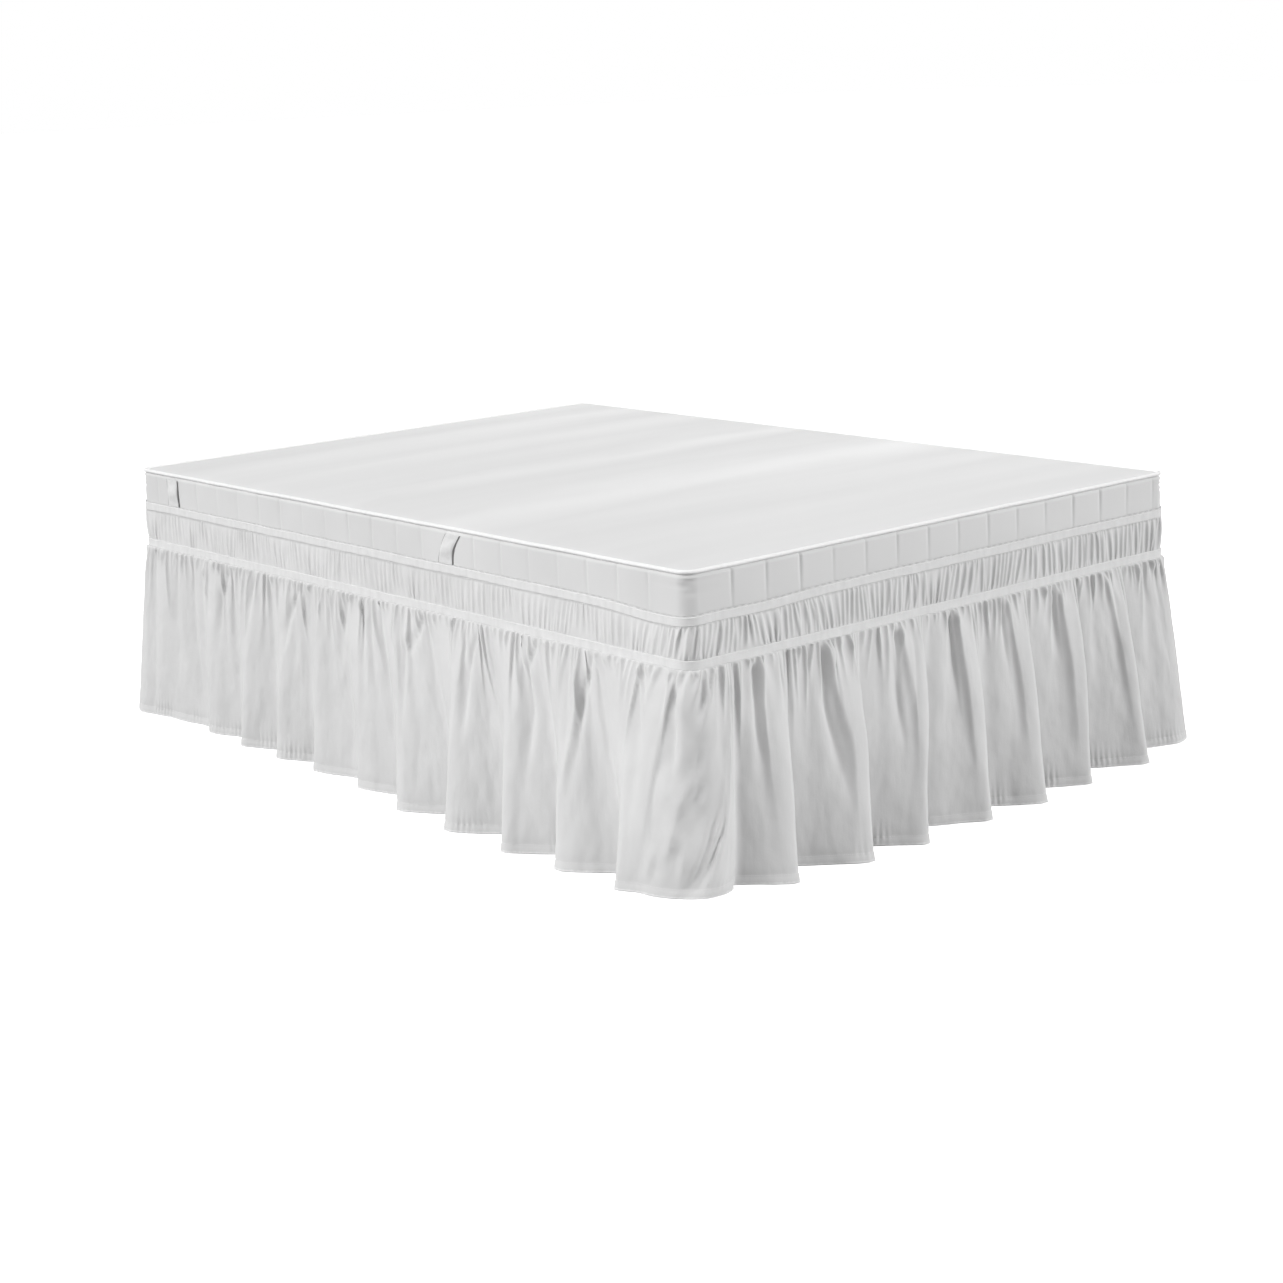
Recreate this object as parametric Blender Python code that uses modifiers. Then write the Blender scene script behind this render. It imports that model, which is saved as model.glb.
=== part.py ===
"""A gathered bed skirt, stretched round a plain mattress that lies on a bed base.

Metres, +Z up. The origin is on the floor under the middle of the bed. X runs across the bed,
and Y along it from the foot (-Y) to the head (+Y). A station is a distance along the
mattress's outline, measured down the left side (-X) from its head end, round the corner and
across the foot. The outline's other half is this one turned half a turn. Out is a distance
outwards from the mattress's side.
"""

import math
from collections import namedtuple

import bmesh
import bpy
from mathutils import Vector

# Mattress and bed base
BED_WIDTH = 1.40
BED_LENGTH = 2.00
CORNER_RADIUS = 0.03
MATTRESS_BOTTOM = 0.350
MATTRESS_SIDE_TOP = 0.586
MATTRESS_EDGE_TOP = 0.598
MATTRESS_CROWN_TOP = 0.606
MATTRESS_CHAMFER = 0.012
CROWN_SLOPE_WIDTH = 0.30
SEAM_DEPTH = 0.003
CORNER_STEPS = 8
BASE_INSET = 0.010
BASE_BOTTOM = 0.150
BASE_EDGE_ROUNDING = 0.020
LEG_RADIUS = 0.030
LEG_SIDES = 16
LEG_SIDE_INSET = 0.100
LEG_END_INSET = 0.120

# Trim of the mattress
PIPING_RADIUS = 0.004
PIPING_SIDES_RESOLUTION = 2
STRAP_WIDTH = 0.050
STRAP_THICKNESS = 0.0018
STRAP_TOP = 0.584
STRAP_BOTTOM = 0.5195
STRAP_BOW = 0.007
STRAP_SEWN_SHARE = 0.12
STRAP_STEPS = 8

# Skirt
UPPER_TAPE_MIDDLE = 0.509
LOWER_TAPE_MIDDLE = 0.420
TAPE_WIDTH = 0.018
TAPE_THICKNESS = 0.003
CLOTH_THICKNESS = 0.0018
GATHERED_EDGE_OUT = 0.0028
GATHERS_PER_FOLD = 6
HEADING_VALLEY_OUT = 0.0060
HEADING_GATHER_DEPTH = 0.010
RUFFLE_NECK_OUT = 0.010

# Waves that make the heading's gathers uneven: their height as a share of a gather's pitch or
# depth, and the turn, in radians, from one point of the heading to the next
Wave = namedtuple("Wave", "share turn")
HEADING_WANDERS = (Wave(0.18, 1.3), Wave(0.22, 0.21))
HEADING_DEPTH_WAVE = Wave(0.20, 0.9)

# Clearance between pieces that touch
GAP = 0.0003

# One row for each big fold of the ruffle, in half of its way round.
# crest: station of the fold's crest at the hem. crest_out and valley_out: how far the crest,
# and the valley after it, stand out at the hem. crest_lean and valley_lean: how far along the
# outline their tops lie from their hems.
Fold = namedtuple("Fold", "crest crest_out valley_out crest_lean valley_lean")
FOLDS = (
    Fold(0.115, 0.046, 0.012, 0.010, 0.015),
    Fold(0.270, 0.048, 0.012, 0.020, 0.020),
    Fold(0.440, 0.062, 0.014, 0.025, 0.020),
    Fold(0.600, 0.060, 0.016, 0.020, 0.010),
    Fold(0.760, 0.058, 0.028, 0.000, -0.010),
    Fold(0.950, 0.066, 0.036, -0.020, -0.030),
    Fold(1.150, 0.108, 0.032, -0.050, -0.080),
    Fold(1.340, 0.124, 0.038, -0.065, -0.085),
    Fold(1.540, 0.132, 0.045, -0.070, -0.085),
    Fold(1.705, 0.128, 0.040, -0.070, -0.080),
    Fold(1.883, 0.126, 0.088, -0.050, 0.000),
    Fold(1.976, 0.108, 0.056, 0.020, 0.050),
    Fold(2.093, 0.134, 0.048, 0.050, 0.080),
    Fold(2.282, 0.148, 0.056, 0.040, 0.090),
    Fold(2.432, 0.150, 0.050, 0.075, 0.095),
    Fold(2.632, 0.137, 0.060, 0.050, 0.065),
    Fold(2.797, 0.139, 0.050, 0.030, 0.045),
    Fold(2.962, 0.120, 0.022, 0.020, 0.015),
    Fold(3.163, 0.112, 0.016, -0.020, -0.020),
    Fold(3.345, 0.072, 0.012, 0.000, 0.005),
)

# Rows of points down the ruffle. share: how much of the hem's shape the row has. gather:
# depth of the small gathers. points: points in a fold.
RuffleRow = namedtuple("RuffleRow", "height share gather points")
RUFFLE_ROWS = (
    RuffleRow(LOWER_TAPE_MIDDLE - TAPE_WIDTH / 2 - GAP, 0.00, 0.000, 2 * GATHERS_PER_FOLD),
    RuffleRow(0.388, 0.12, 0.011, 2 * GATHERS_PER_FOLD),
    RuffleRow(0.300, 0.42, 0.000, GATHERS_PER_FOLD),
    RuffleRow(0.150, 0.74, 0.000, GATHERS_PER_FOLD),
    RuffleRow(0.000, 1.00, 0.000, GATHERS_PER_FOLD),
)

# Handles: side of the bed, and Y of the handle's middle
HANDLES = {
    "handle_left_head": (-1, 0.846),
    "handle_left_foot": (-1, -0.282),
    "handle_right_foot": (1, -0.846),
    "handle_right_head": (1, 0.282),
}

LONG_RUN = BED_LENGTH - 2 * CORNER_RADIUS
SHORT_RUN = BED_WIDTH - 2 * CORNER_RADIUS
CORNER_RUN = math.pi / 2 * CORNER_RADIUS
HALF_ROUND = LONG_RUN + SHORT_RUN + 2 * CORNER_RUN
WHOLE_ROUND = 2 * HALF_ROUND

# Straight or rounded runs of half of the outline: length, and the upright seams across it, as
# distance of the first from the run's start, their pitch and their number
Run = namedtuple("Run", "length first_seam seam_pitch seams")
RUNS = (
    Run(LONG_RUN, 0.050, 0.0905, 21),
    Run(CORNER_RUN, 0.0, 0.0, 0),
    Run(SHORT_RUN, 0.083, 0.0887, 15),
    Run(CORNER_RUN, 0.0, 0.0, 0),
)

# Colour, roughness
FINISHES = {
    "ruffle_cloth": ((0.80, 0.80, 0.80), 0.85),
    "heading_cloth": ((0.82, 0.82, 0.82), 0.85),
    "elastic_tape": ((0.88, 0.88, 0.88), 0.70),
    "mattress_ticking": ((0.86, 0.86, 0.86), 0.75),
    "piping_cord": ((0.94, 0.94, 0.94), 0.60),
    "webbing": ((0.88, 0.88, 0.88), 0.65),
    "base_wood": ((0.62, 0.50, 0.36), 0.55),
    "leg_wood": ((0.45, 0.33, 0.22), 0.50),
}


def clear_scene():
    for thing in list(bpy.data.objects):
        bpy.data.objects.remove(thing, do_unlink=True)


def new_collection(name):
    collection = bpy.data.collections.new(name)
    bpy.context.scene.collection.children.link(collection)
    return collection


def finish(name):
    """The material of this name, made on its first use."""
    if name in bpy.data.materials:
        return bpy.data.materials[name]
    colour, roughness = FINISHES[name]
    material = bpy.data.materials.new(name)
    material.use_nodes = True
    shader = material.node_tree.nodes["Principled BSDF"]
    shader.inputs["Base Color"].default_value = (*colour, 1.0)
    shader.inputs["Roughness"].default_value = roughness
    shader.inputs["Metallic"].default_value = 0.0
    return material


def around(station, out, height):
    """The point at this station, out and height."""
    turns, along = divmod(station, HALF_ROUND)
    corner_x = BED_WIDTH / 2 - CORNER_RADIUS
    corner_y = BED_LENGTH / 2 - CORNER_RADIUS
    foot_start = LONG_RUN + CORNER_RUN
    if along < LONG_RUN:
        x = -BED_WIDTH / 2 - out
        y = corner_y - along
    elif along < foot_start:
        angle = math.pi + (along - LONG_RUN) / CORNER_RADIUS
        x = -corner_x + (CORNER_RADIUS + out) * math.cos(angle)
        y = -corner_y + (CORNER_RADIUS + out) * math.sin(angle)
    elif along < foot_start + SHORT_RUN:
        x = -corner_x + along - foot_start
        y = -BED_LENGTH / 2 - out
    else:
        angle = 1.5 * math.pi + (along - foot_start - SHORT_RUN) / CORNER_RADIUS
        x = corner_x + (CORNER_RADIUS + out) * math.cos(angle)
        y = -corner_y + (CORNER_RADIUS + out) * math.sin(angle)
    side = -1 if turns % 2 else 1
    return Vector((side * x, side * y, height))


def evenly(start, length, count):
    return [start + length * i / count for i in range(count)]


def corner_stations():
    """Stations of the four rounded corners' steps, with none along the straight sides."""
    stations = []
    for half in (0, HALF_ROUND):
        for start in (half + LONG_RUN, half + LONG_RUN + CORNER_RUN + SHORT_RUN):
            stations += evenly(start, CORNER_RUN, CORNER_STEPS) + [start + CORNER_RUN]
    return stations


def add_object(name, mesh_or_curve, material, collection):
    thing = bpy.data.objects.new(name, mesh_or_curve)
    thing.data.materials.append(finish(material))
    collection.objects.link(thing)
    return thing


def surface(rows, closed=True, capped=False):
    """Mesh through rows of points: top row first, each running to the right seen from outside.

    A row has as many points as the row above it, or half as many. A closed row is a ring, and
    caps close the first and last ring.
    """
    shape = bmesh.new()
    loops = [[shape.verts.new(point) for point in row] for row in rows]
    for upper, lower in zip(loops, loops[1:]):
        per_point = len(upper) // len(lower)
        for i in range(len(lower) if closed else len(lower) - 1):
            below = lower[i]
            next_below = lower[(i + 1) % len(lower)]
            last_above = upper[per_point * (i + 1) - 1]
            next_above = upper[per_point * (i + 1) % len(upper)]
            if per_point == 2:
                shape.faces.new((upper[2 * i], below, last_above))
            shape.faces.new((last_above, below, next_below, next_above))
    if capped:
        shape.faces.new(loops[0])
        shape.faces.new(reversed(loops[-1]))
    mesh = bpy.data.meshes.new("surface")
    shape.to_mesh(mesh)
    shape.free()
    return mesh


def thicken(thing, thickness, side):
    """Gives an open surface its thickness: side -1 is inwards, 1 outwards and 0 half each way."""
    wall = thing.modifiers.new("Thickness", "SOLIDIFY")
    wall.thickness = thickness
    wall.offset = side
    wall.use_even_offset = True


def apply_and_level(thing, low, high):
    """Applies the modifiers, then cuts the two edges level at these heights."""
    graph = bpy.context.evaluated_depsgraph_get()
    mesh = bpy.data.meshes.new_from_object(thing.evaluated_get(graph))
    thing.modifiers.clear()
    thing.data = mesh
    for vertex in mesh.vertices:
        if vertex.co.z > high - CLOTH_THICKNESS:
            vertex.co.z = high
        elif vertex.co.z < low + CLOTH_THICKNESS:
            vertex.co.z = low


def fold_points(folds, points):
    """For each point of a row: its station at the hem, the hem's out there, and its lean."""
    placed = []
    for before, fold, after in zip(folds, folds[1:], folds[2:]):
        for i in range(points):
            phase = (i + 0.5) / points
            valley = before if phase < 0.5 else fold
            neighbour = before if phase < 0.5 else after
            rise = 0.5 - 0.5 * math.cos(2 * math.pi * phase)
            station = fold.crest + (neighbour.crest - fold.crest) * abs(phase - 0.5)
            out = valley.valley_out + (fold.crest_out - valley.valley_out) * rise
            lean = valley.valley_lean + (fold.crest_lean - valley.valley_lean) * rise
            placed.append((station, out, lean))
    return placed


def moved(fold, distance):
    return fold._replace(crest=fold.crest + distance)


def whole_round_of_folds():
    """The folds of both halves, with one more before the first and one after the last."""
    both = list(FOLDS) + [moved(fold, HALF_ROUND) for fold in FOLDS]
    return [moved(both[-1], -WHOLE_ROUND), *both, moved(both[0], WHOLE_ROUND)]


def make_ruffle(collection):
    """The ruffle: small gathers under the tape run together into the big folds of the hem."""
    folds = whole_round_of_folds()
    rows = []
    for row in RUFFLE_ROWS:
        points = []
        neck_out = GATHERED_EDGE_OUT if row.share == 0 else RUFFLE_NECK_OUT
        for i, (station, hem_out, lean) in enumerate(fold_points(folds, row.points)):
            out = neck_out + (hem_out - neck_out) * row.share
            out += row.gather / 2 * (1 if i % 2 else -1)
            points.append(around(station + lean * (1 - row.share), out, row.height))
        rows.append(points)
    ruffle = add_object("skirt_ruffle", surface(rows), "ruffle_cloth", collection)
    thicken(ruffle, CLOTH_THICKNESS, 0)
    apply_and_level(ruffle, RUFFLE_ROWS[-1].height, RUFFLE_ROWS[0].height)
    return ruffle


def make_heading(collection):
    """The ruched strip between the tapes, flat along both edges and gathered across its middle."""
    high = UPPER_TAPE_MIDDLE - TAPE_WIDTH / 2 - GAP
    low = LOWER_TAPE_MIDDLE + TAPE_WIDTH / 2 + GAP
    gathers = 2 * len(FOLDS) * GATHERS_PER_FOLD
    pitch = WHOLE_ROUND / gathers
    edge = []
    middle = []
    for i in range(2 * gathers):
        station = pitch * i / 2
        wander = pitch * sum(wave.share * math.sin(wave.turn * i) for wave in HEADING_WANDERS)
        shallower = HEADING_DEPTH_WAVE.share * (1 - math.sin(HEADING_DEPTH_WAVE.turn * i))
        depth = HEADING_GATHER_DEPTH * (1 - shallower) if i % 2 else 0.0
        edge.append((station, GATHERED_EDGE_OUT))
        middle.append((station + wander, HEADING_VALLEY_OUT + depth))
    rows = [
        [around(station, out, high) for station, out in edge],
        [around(station, out, (high + low) / 2) for station, out in middle],
        [around(station, out, low) for station, out in edge],
    ]
    heading = add_object("skirt_heading", surface(rows), "heading_cloth", collection)
    thicken(heading, CLOTH_THICKNESS, 0)
    apply_and_level(heading, low, high)
    return heading


def make_tape(name, middle, collection):
    """An elastic tape that grips the mattress all round."""
    rows = [[around(station, GAP, z) for station in corner_stations()] for z in tape_edges(middle)]
    tape = add_object(name, surface(rows), "elastic_tape", collection)
    thicken(tape, TAPE_THICKNESS, 1)
    return tape


def tape_edges(middle):
    return middle + TAPE_WIDTH / 2, middle - TAPE_WIDTH / 2


def mattress_outline():
    """Station and inset of each point of the mattress's side: seams lie in between bulging panels."""
    outline = []
    start = 0.0
    for run in RUNS + RUNS:
        if run.seams:
            outline.append((start, 0.0))
            for number in range(run.seams):
                seam = start + run.first_seam + number * run.seam_pitch
                outline.append((seam, SEAM_DEPTH))
                if number < run.seams - 1:
                    outline.append((seam + run.seam_pitch / 2, 0.0))
        else:
            outline += [(station, 0.0) for station in evenly(start, run.length, CORNER_STEPS)]
        start += run.length
    return outline


def make_mattress(collection):
    """The mattress: sewn side panels, chamfered edges and a slightly crowned top."""
    outline = mattress_outline()
    crown_x = 1 - CROWN_SLOPE_WIDTH / (BED_WIDTH / 2)
    crown_y = 1 - CROWN_SLOPE_WIDTH / (BED_LENGTH / 2)
    edge = [around(station, -MATTRESS_CHAMFER, MATTRESS_EDGE_TOP) for station, _ in outline]
    rows = [
        [Vector((point.x * crown_x, point.y * crown_y, MATTRESS_CROWN_TOP)) for point in edge],
        edge,
        [around(station, -inset, MATTRESS_SIDE_TOP) for station, inset in outline],
        [around(station, -inset, MATTRESS_BOTTOM + MATTRESS_CHAMFER) for station, inset in outline],
        [around(station, -MATTRESS_CHAMFER, MATTRESS_BOTTOM) for station, _ in outline],
    ]
    return add_object("mattress", surface(rows, capped=True), "mattress_ticking", collection)


def make_piping(collection):
    """The piping cord in the chamfer of the mattress's top edge."""
    seat = (PIPING_RADIUS + GAP) * math.sqrt(0.5)
    out = -MATTRESS_CHAMFER / 2 + seat
    height = (MATTRESS_SIDE_TOP + MATTRESS_EDGE_TOP) / 2 + seat
    stations = corner_stations()
    cord = bpy.data.curves.new("mattress_piping", "CURVE")
    cord.dimensions = "3D"
    cord.twist_mode = "Z_UP"
    cord.bevel_depth = PIPING_RADIUS
    cord.bevel_resolution = PIPING_SIDES_RESOLUTION
    route = cord.splines.new("POLY")
    route.points.add(len(stations) - 1)
    for point, station in zip(route.points, stations):
        point.co = (*around(station, out, height), 1.0)
    route.use_cyclic_u = True
    return add_object("mattress_piping", cord, "piping_cord", collection)


def make_handle(name, side, y, collection):
    """A webbing strap that bows out from the mattress's side, with both ends flat against it."""
    rows = []
    edges = (y - side * STRAP_WIDTH / 2, y + side * STRAP_WIDTH / 2)
    bowed_share = 1 - 2 * STRAP_SEWN_SHARE
    shares = [STRAP_SEWN_SHARE + bowed_share * i / STRAP_STEPS for i in range(STRAP_STEPS + 1)]
    for share in (0.0, *shares, 1.0):
        along_bow = min(max((share - STRAP_SEWN_SHARE) / bowed_share, 0.0), 1.0)
        height = STRAP_TOP + (STRAP_BOTTOM - STRAP_TOP) * share
        x = side * (BED_WIDTH / 2 + GAP + STRAP_BOW * math.sin(math.pi * along_bow) ** 2)
        rows.append([Vector((x, edge_y, height)) for edge_y in edges])
    strap = add_object(name, surface(rows, closed=False), "webbing", collection)
    thicken(strap, STRAP_THICKNESS, 1)
    return strap


def make_base(collection):
    """The wooden base under the mattress."""
    height = MATTRESS_BOTTOM - GAP - BASE_BOTTOM
    bpy.ops.mesh.primitive_cube_add(size=1.0)
    base = bpy.context.object
    base.name = "bed_base"
    base.dimensions = (BED_WIDTH - 2 * BASE_INSET, BED_LENGTH - 2 * BASE_INSET, height)
    base.location = (0.0, 0.0, BASE_BOTTOM + height / 2)
    bpy.ops.object.transform_apply(location=False, rotation=False, scale=True)
    rounding = base.modifiers.new("Rounding", "BEVEL")
    rounding.width = BASE_EDGE_ROUNDING
    rounding.segments = 2
    move_to(collection, base, "base_wood")
    return base


def make_leg(number, x, y, collection):
    height = BASE_BOTTOM - GAP
    bpy.ops.mesh.primitive_cylinder_add(
        vertices=LEG_SIDES, radius=LEG_RADIUS, depth=height, location=(x, y, height / 2)
    )
    leg = bpy.context.object
    leg.name = f"bed_leg_{number}"
    move_to(collection, leg, "leg_wood")
    return leg


def move_to(collection, thing, material):
    for old in list(thing.users_collection):
        old.objects.unlink(thing)
    collection.objects.link(thing)
    thing.data.materials.append(finish(material))


def main():
    clear_scene()
    collection = new_collection("bed_skirt")
    leg_x = BED_WIDTH / 2 - LEG_SIDE_INSET
    leg_y = BED_LENGTH / 2 - LEG_END_INSET
    places = [(side * leg_x, end * leg_y) for side in (-1, 1) for end in (-1, 0, 1)]
    for number, (x, y) in enumerate(places, start=1):
        make_leg(number, x, y, collection)
    make_base(collection)
    make_mattress(collection)
    make_piping(collection)
    for name, (side, y) in HANDLES.items():
        make_handle(name, side, y, collection)
    make_tape("upper_tape", UPPER_TAPE_MIDDLE, collection)
    make_tape("lower_tape", LOWER_TAPE_MIDDLE, collection)
    make_heading(collection)
    make_ruffle(collection)


main()
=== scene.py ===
"""The look of a gathered bed skirt, stretched round a plain mattress on a bed base.

Metres, +Z up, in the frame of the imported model: the origin is on the floor under the middle of
the bed. X runs across the bed, and Y along it from the foot (-Y) to the head (+Y). A station is
a distance along the mattress's outline, measured down the left side (-X) from its head end,
round the corner and across the foot. The outline's other half is this one turned half a turn.
Out is a distance outwards from the mattress's side, and drop one down from the ruffle's top.
"""

import math
from collections import namedtuple

import bpy
import numpy as np
from mathutils import Matrix, Vector


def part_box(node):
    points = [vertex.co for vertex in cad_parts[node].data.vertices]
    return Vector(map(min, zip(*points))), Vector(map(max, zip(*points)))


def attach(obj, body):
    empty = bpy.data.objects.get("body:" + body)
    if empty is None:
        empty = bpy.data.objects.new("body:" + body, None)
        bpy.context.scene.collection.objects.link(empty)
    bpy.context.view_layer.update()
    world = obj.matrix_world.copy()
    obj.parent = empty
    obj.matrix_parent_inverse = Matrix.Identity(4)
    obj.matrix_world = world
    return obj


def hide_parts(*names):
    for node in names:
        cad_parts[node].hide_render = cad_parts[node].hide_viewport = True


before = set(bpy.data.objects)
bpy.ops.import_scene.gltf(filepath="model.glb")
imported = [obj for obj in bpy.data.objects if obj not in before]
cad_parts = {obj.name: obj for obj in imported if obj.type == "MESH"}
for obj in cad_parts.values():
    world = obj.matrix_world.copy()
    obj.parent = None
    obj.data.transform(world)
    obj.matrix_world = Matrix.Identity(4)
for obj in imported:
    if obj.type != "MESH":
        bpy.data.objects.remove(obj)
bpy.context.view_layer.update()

# Sizes from the frame
mattress_low, mattress_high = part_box("mattress")
upper_tape_low, upper_tape_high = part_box("upper_tape")
lower_tape_low, lower_tape_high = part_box("lower_tape")
ruffle_low, ruffle_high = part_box("skirt_ruffle")
strap_low, strap_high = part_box("handle_left_head")
BED_WIDTH = mattress_high.x - mattress_low.x
BED_LENGTH = mattress_high.y - mattress_low.y
MATTRESS_BOTTOM = mattress_low.z
CROWN_TOP = mattress_high.z
RUFFLE_TOP = ruffle_high.z
DROP = ruffle_high.z - ruffle_low.z
UPPER_TAPE_MIDDLE = (upper_tape_low.z + upper_tape_high.z) / 2
LOWER_TAPE_MIDDLE = (lower_tape_low.z + lower_tape_high.z) / 2
TAPE_WIDTH = upper_tape_high.z - upper_tape_low.z
STRAP_TOP = strap_high.z
STRAP_BOTTOM = strap_low.z
STRAP_WIDTH = strap_high.y - strap_low.y

# Sizes that the frame's boxes don't show, as in the part's source
CORNER_RADIUS = 0.03
SIDE_TOP = 0.586
EDGE_TOP = 0.598
CHAMFER = 0.012
GAP = 0.0003
LONG_RUN = BED_LENGTH - 2 * CORNER_RADIUS
SHORT_RUN = BED_WIDTH - 2 * CORNER_RADIUS
CORNER_RUN = math.pi / 2 * CORNER_RADIUS
HALF_ROUND = LONG_RUN + SHORT_RUN + 2 * CORNER_RUN
CORNER_MIDDLES = (LONG_RUN + CORNER_RUN / 2, HALF_ROUND - CORNER_RUN / 2)
WHOLE_ROUND = 2 * HALF_ROUND

# Straight or rounded runs of half of the outline: length, and the upright seams across it, as
# distance of the first from the run's start, their pitch and their number
Run = namedtuple("Run", "length first_seam seam_pitch seams")
RUNS = (
    Run(LONG_RUN, 0.050, 0.0905, 21),
    Run(CORNER_RUN, 0.0, 0.0, 0),
    Run(SHORT_RUN, 0.083, 0.0887, 15),
    Run(CORNER_RUN, 0.0, 0.0, 0),
)

# Mattress: heights of its side's rows from the top, and insets of its top's rows from the middle
SIDE_ROWS = (
    *(0.586, 0.5825, 0.579, 0.5745, 0.570, 0.5645, 0.559, 0.552),
    *(0.543, 0.530, 0.512, 0.48, 0.44, 0.40, 0.362),
)
TOP_ROWS = (
    *(0.68, 0.62, 0.56, 0.51, 0.46, 0.42, 0.38, 0.345, 0.31, 0.28, 0.25, 0.22, 0.195, 0.17),
    *(0.15, 0.13, 0.11, 0.092, 0.076, 0.062, 0.050, 0.040, 0.031, 0.023, 0.016, 0.010, 0.005, 0.0),
)
CORNER_COLUMNS = 16
SIDE_REACH = 0.0010
SEAM_DEPTH = 0.0026
SEAM_WIDTH = 0.0035
SEAM_FADE = 0.060
SEAM_LEAST = 0.08
SEAM_MORE = 1.02
SEAM_SHARE = 0.62
SEAM_VARIES = 0.38
NO_SEAM = 0.05
TUCK_HEIGHT = 0.0012
TUCK_ASIDE = 0.006
TUCK_WIDTH = 0.005
PANEL_BULGE = 0.0012
PANEL_EDGE = 0.025
EDGE_PUFF = 0.0045
EDGE_PUFF_WIDTH = 0.018
CROWN_WIDTH = 0.30
TOP_WOBBLE = 0.0007
TOP_LOWERED = 0.0012
TICKING_RIPPLE = 0.0006
TICKING_ROW = 0.02
PIPING_RADIUS = 0.0042
PIPING_SIDES = 12
PIPING_COLUMNS = 900
PIPING_WAVER = 0.0004
PIPING_RISE = 0.0005

# Level creases under the piping at each corner: height, depth and how far it lies off the middle
PUCKERS = ((0.579, 0.0030, 0.006), (0.570, 0.0038, -0.004), (0.559, 0.0022, 0.008))
PUCKER_LENGTH = 0.018
PUCKER_WIDTH = 0.0026

# Handles: side of the bed, Y of the middle, and how far the lower end is pulled aside
STRAP_THICKNESS = 0.0018
STRAP_BOW = 0.0042
STRAP_SEWN_SHARE = 0.12
STRAP_ROWS = 34
STRAP_COLUMNS = 13
STRAP_RIBS = 5
STRAP_RIB_HEIGHT = 0.00012
STRAP_EDGE_DIP = 0.0010
STRAP_NARROWING = 0.06
HANDLES = {
    "handle_left_head": (-1, 0.846, 0.0),
    "handle_left_foot": (-1, -0.282, 0.030),
    "handle_right_foot": (1, -0.846, 0.0),
    "handle_right_head": (1, 0.282, 0.030),
}

# Tapes, with the heights of their two rows of stitches as shares of half their width
TAPE_STITCHES = (0.70, -0.70)
TAPE_COLUMNS = 1500
TAPE_INNER_OUT = 0.0016
TAPE_OUTER_OUT = 0.0033
TAPE_RIBS = 6
TAPE_RIB_HEIGHT = 0.00025
TAPE_EDGE_DIP = 0.0006
TAPE_WAVE = 0.0005
TAPE_SWAY = 0.0007

# Where the upper tape has slipped down: middle, half width and depth
SAGS = ((1.895, 0.110, 0.0085), (2.140, 0.110, 0.0062))

# Heading, with more cloth in its gathers at the corners and across the foot, and cloth that is
# crushed round one station
SEWN_OUT = 0.0011
FRILL_HEIGHT = 0.0032
FRILL_PITCH = 0.018
FRILL_REACH = (0.0030, 0.0014)
HEADING_COLUMNS = 1640
HEADING_ROWS = 15
HEADING_GATHERS = 190
HEADING_FULLNESS = 1.07
MORE_AT_CORNERS = 0.22
MORE_AT_FOOT = 0.10
HEADING_STIFFNESS = 0.004
HEADING_PUFF = 0.0022
RIDGE_HEIGHT = (0.0014, 0.0048)
RIDGE_CRUMPLE = 0.0018
CRUSHED_MIDDLE = 2.02
CRUSHED_WIDTH = 0.16

# Ruffle: columns of points in half of the way round, gathers and flutes, the shape of its big
# folds, the crushed cloth at the foot's first corner, the hem, and the spacing of columns that
# leaves no room for relief
COLUMNS = 1752
SEWN_ABOVE = 0.009
EDGE_OUT = 0.0034
NECK_OUT = 0.0070
GATHERS = 250
GATHER_HEIGHT = (0.0045, 0.0100)
GATHER_REACH = (0.022, 0.190)
GATHER_WIDTH = (0.0032, 0.0056)
GATHER_SLANT = 0.20
GATHER_BOW = 0.004
FLUTES = 62
FLUTE_HEIGHT = (0.002, 0.008)
FLUTE_START = 0.06
FLUTE_REACH = (0.12, 0.4)
FOLD_SAMPLES = 96
SPREAD = 0.92
CREST_ROUNDING = 0.045
CREST_FLAT = 0.05
OVERHANG = 0.030
FOLD_BOW = 0.06
CRINKLE_WIDTH = 0.022
CRINKLE_HEIGHT = 0.0055
HEM_WIDTH = 0.0175
HEM_THICKNESS = 0.0012
HEM_PUCKER_PITCH = 0.012
HEM_PUCKER_HEIGHT = 0.0013
HEM_PUCKER_REACH = 0.012
HEM_PROUD = 0.0007
HEM_GROOVE_DEPTH = 0.0009
HEM_GROOVE_WIDTH = 0.0022
CLOSE_COLUMNS = 0.0024

# How cloth settles: rounds, the share of its motion that it keeps from one to the next, and for
# each round the share of a thread's missing or excess length that is pushed or pulled away, the
# same for threads aslant, and the weight that straightens the cloth downwards. Then its clearance
# from the mattress and the floor, and the slack that the ruffle's threads have at the top.
ROUNDS = 120
MOMENTUM = 0.9
PUSH = 0.30
PULL = 0.30
SHEAR = 0.01
WEIGHT = 0.030
CLEARANCE = 0.0012
FLOOR_CLEARANCE = 0.0002
SLACK = 0.04

# Camera: its place, its turn, tilt and roll in degrees, and its lens and sensor in millimetres
CAMERA_PLACE = (-3.6123, -4.3288, 1.4991)
CAMERA_TURN = -40.07
CAMERA_TILT = 13.07
CAMERA_ROLL = -2.25
LENS = 69.36
SENSOR = 36.0

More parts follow.
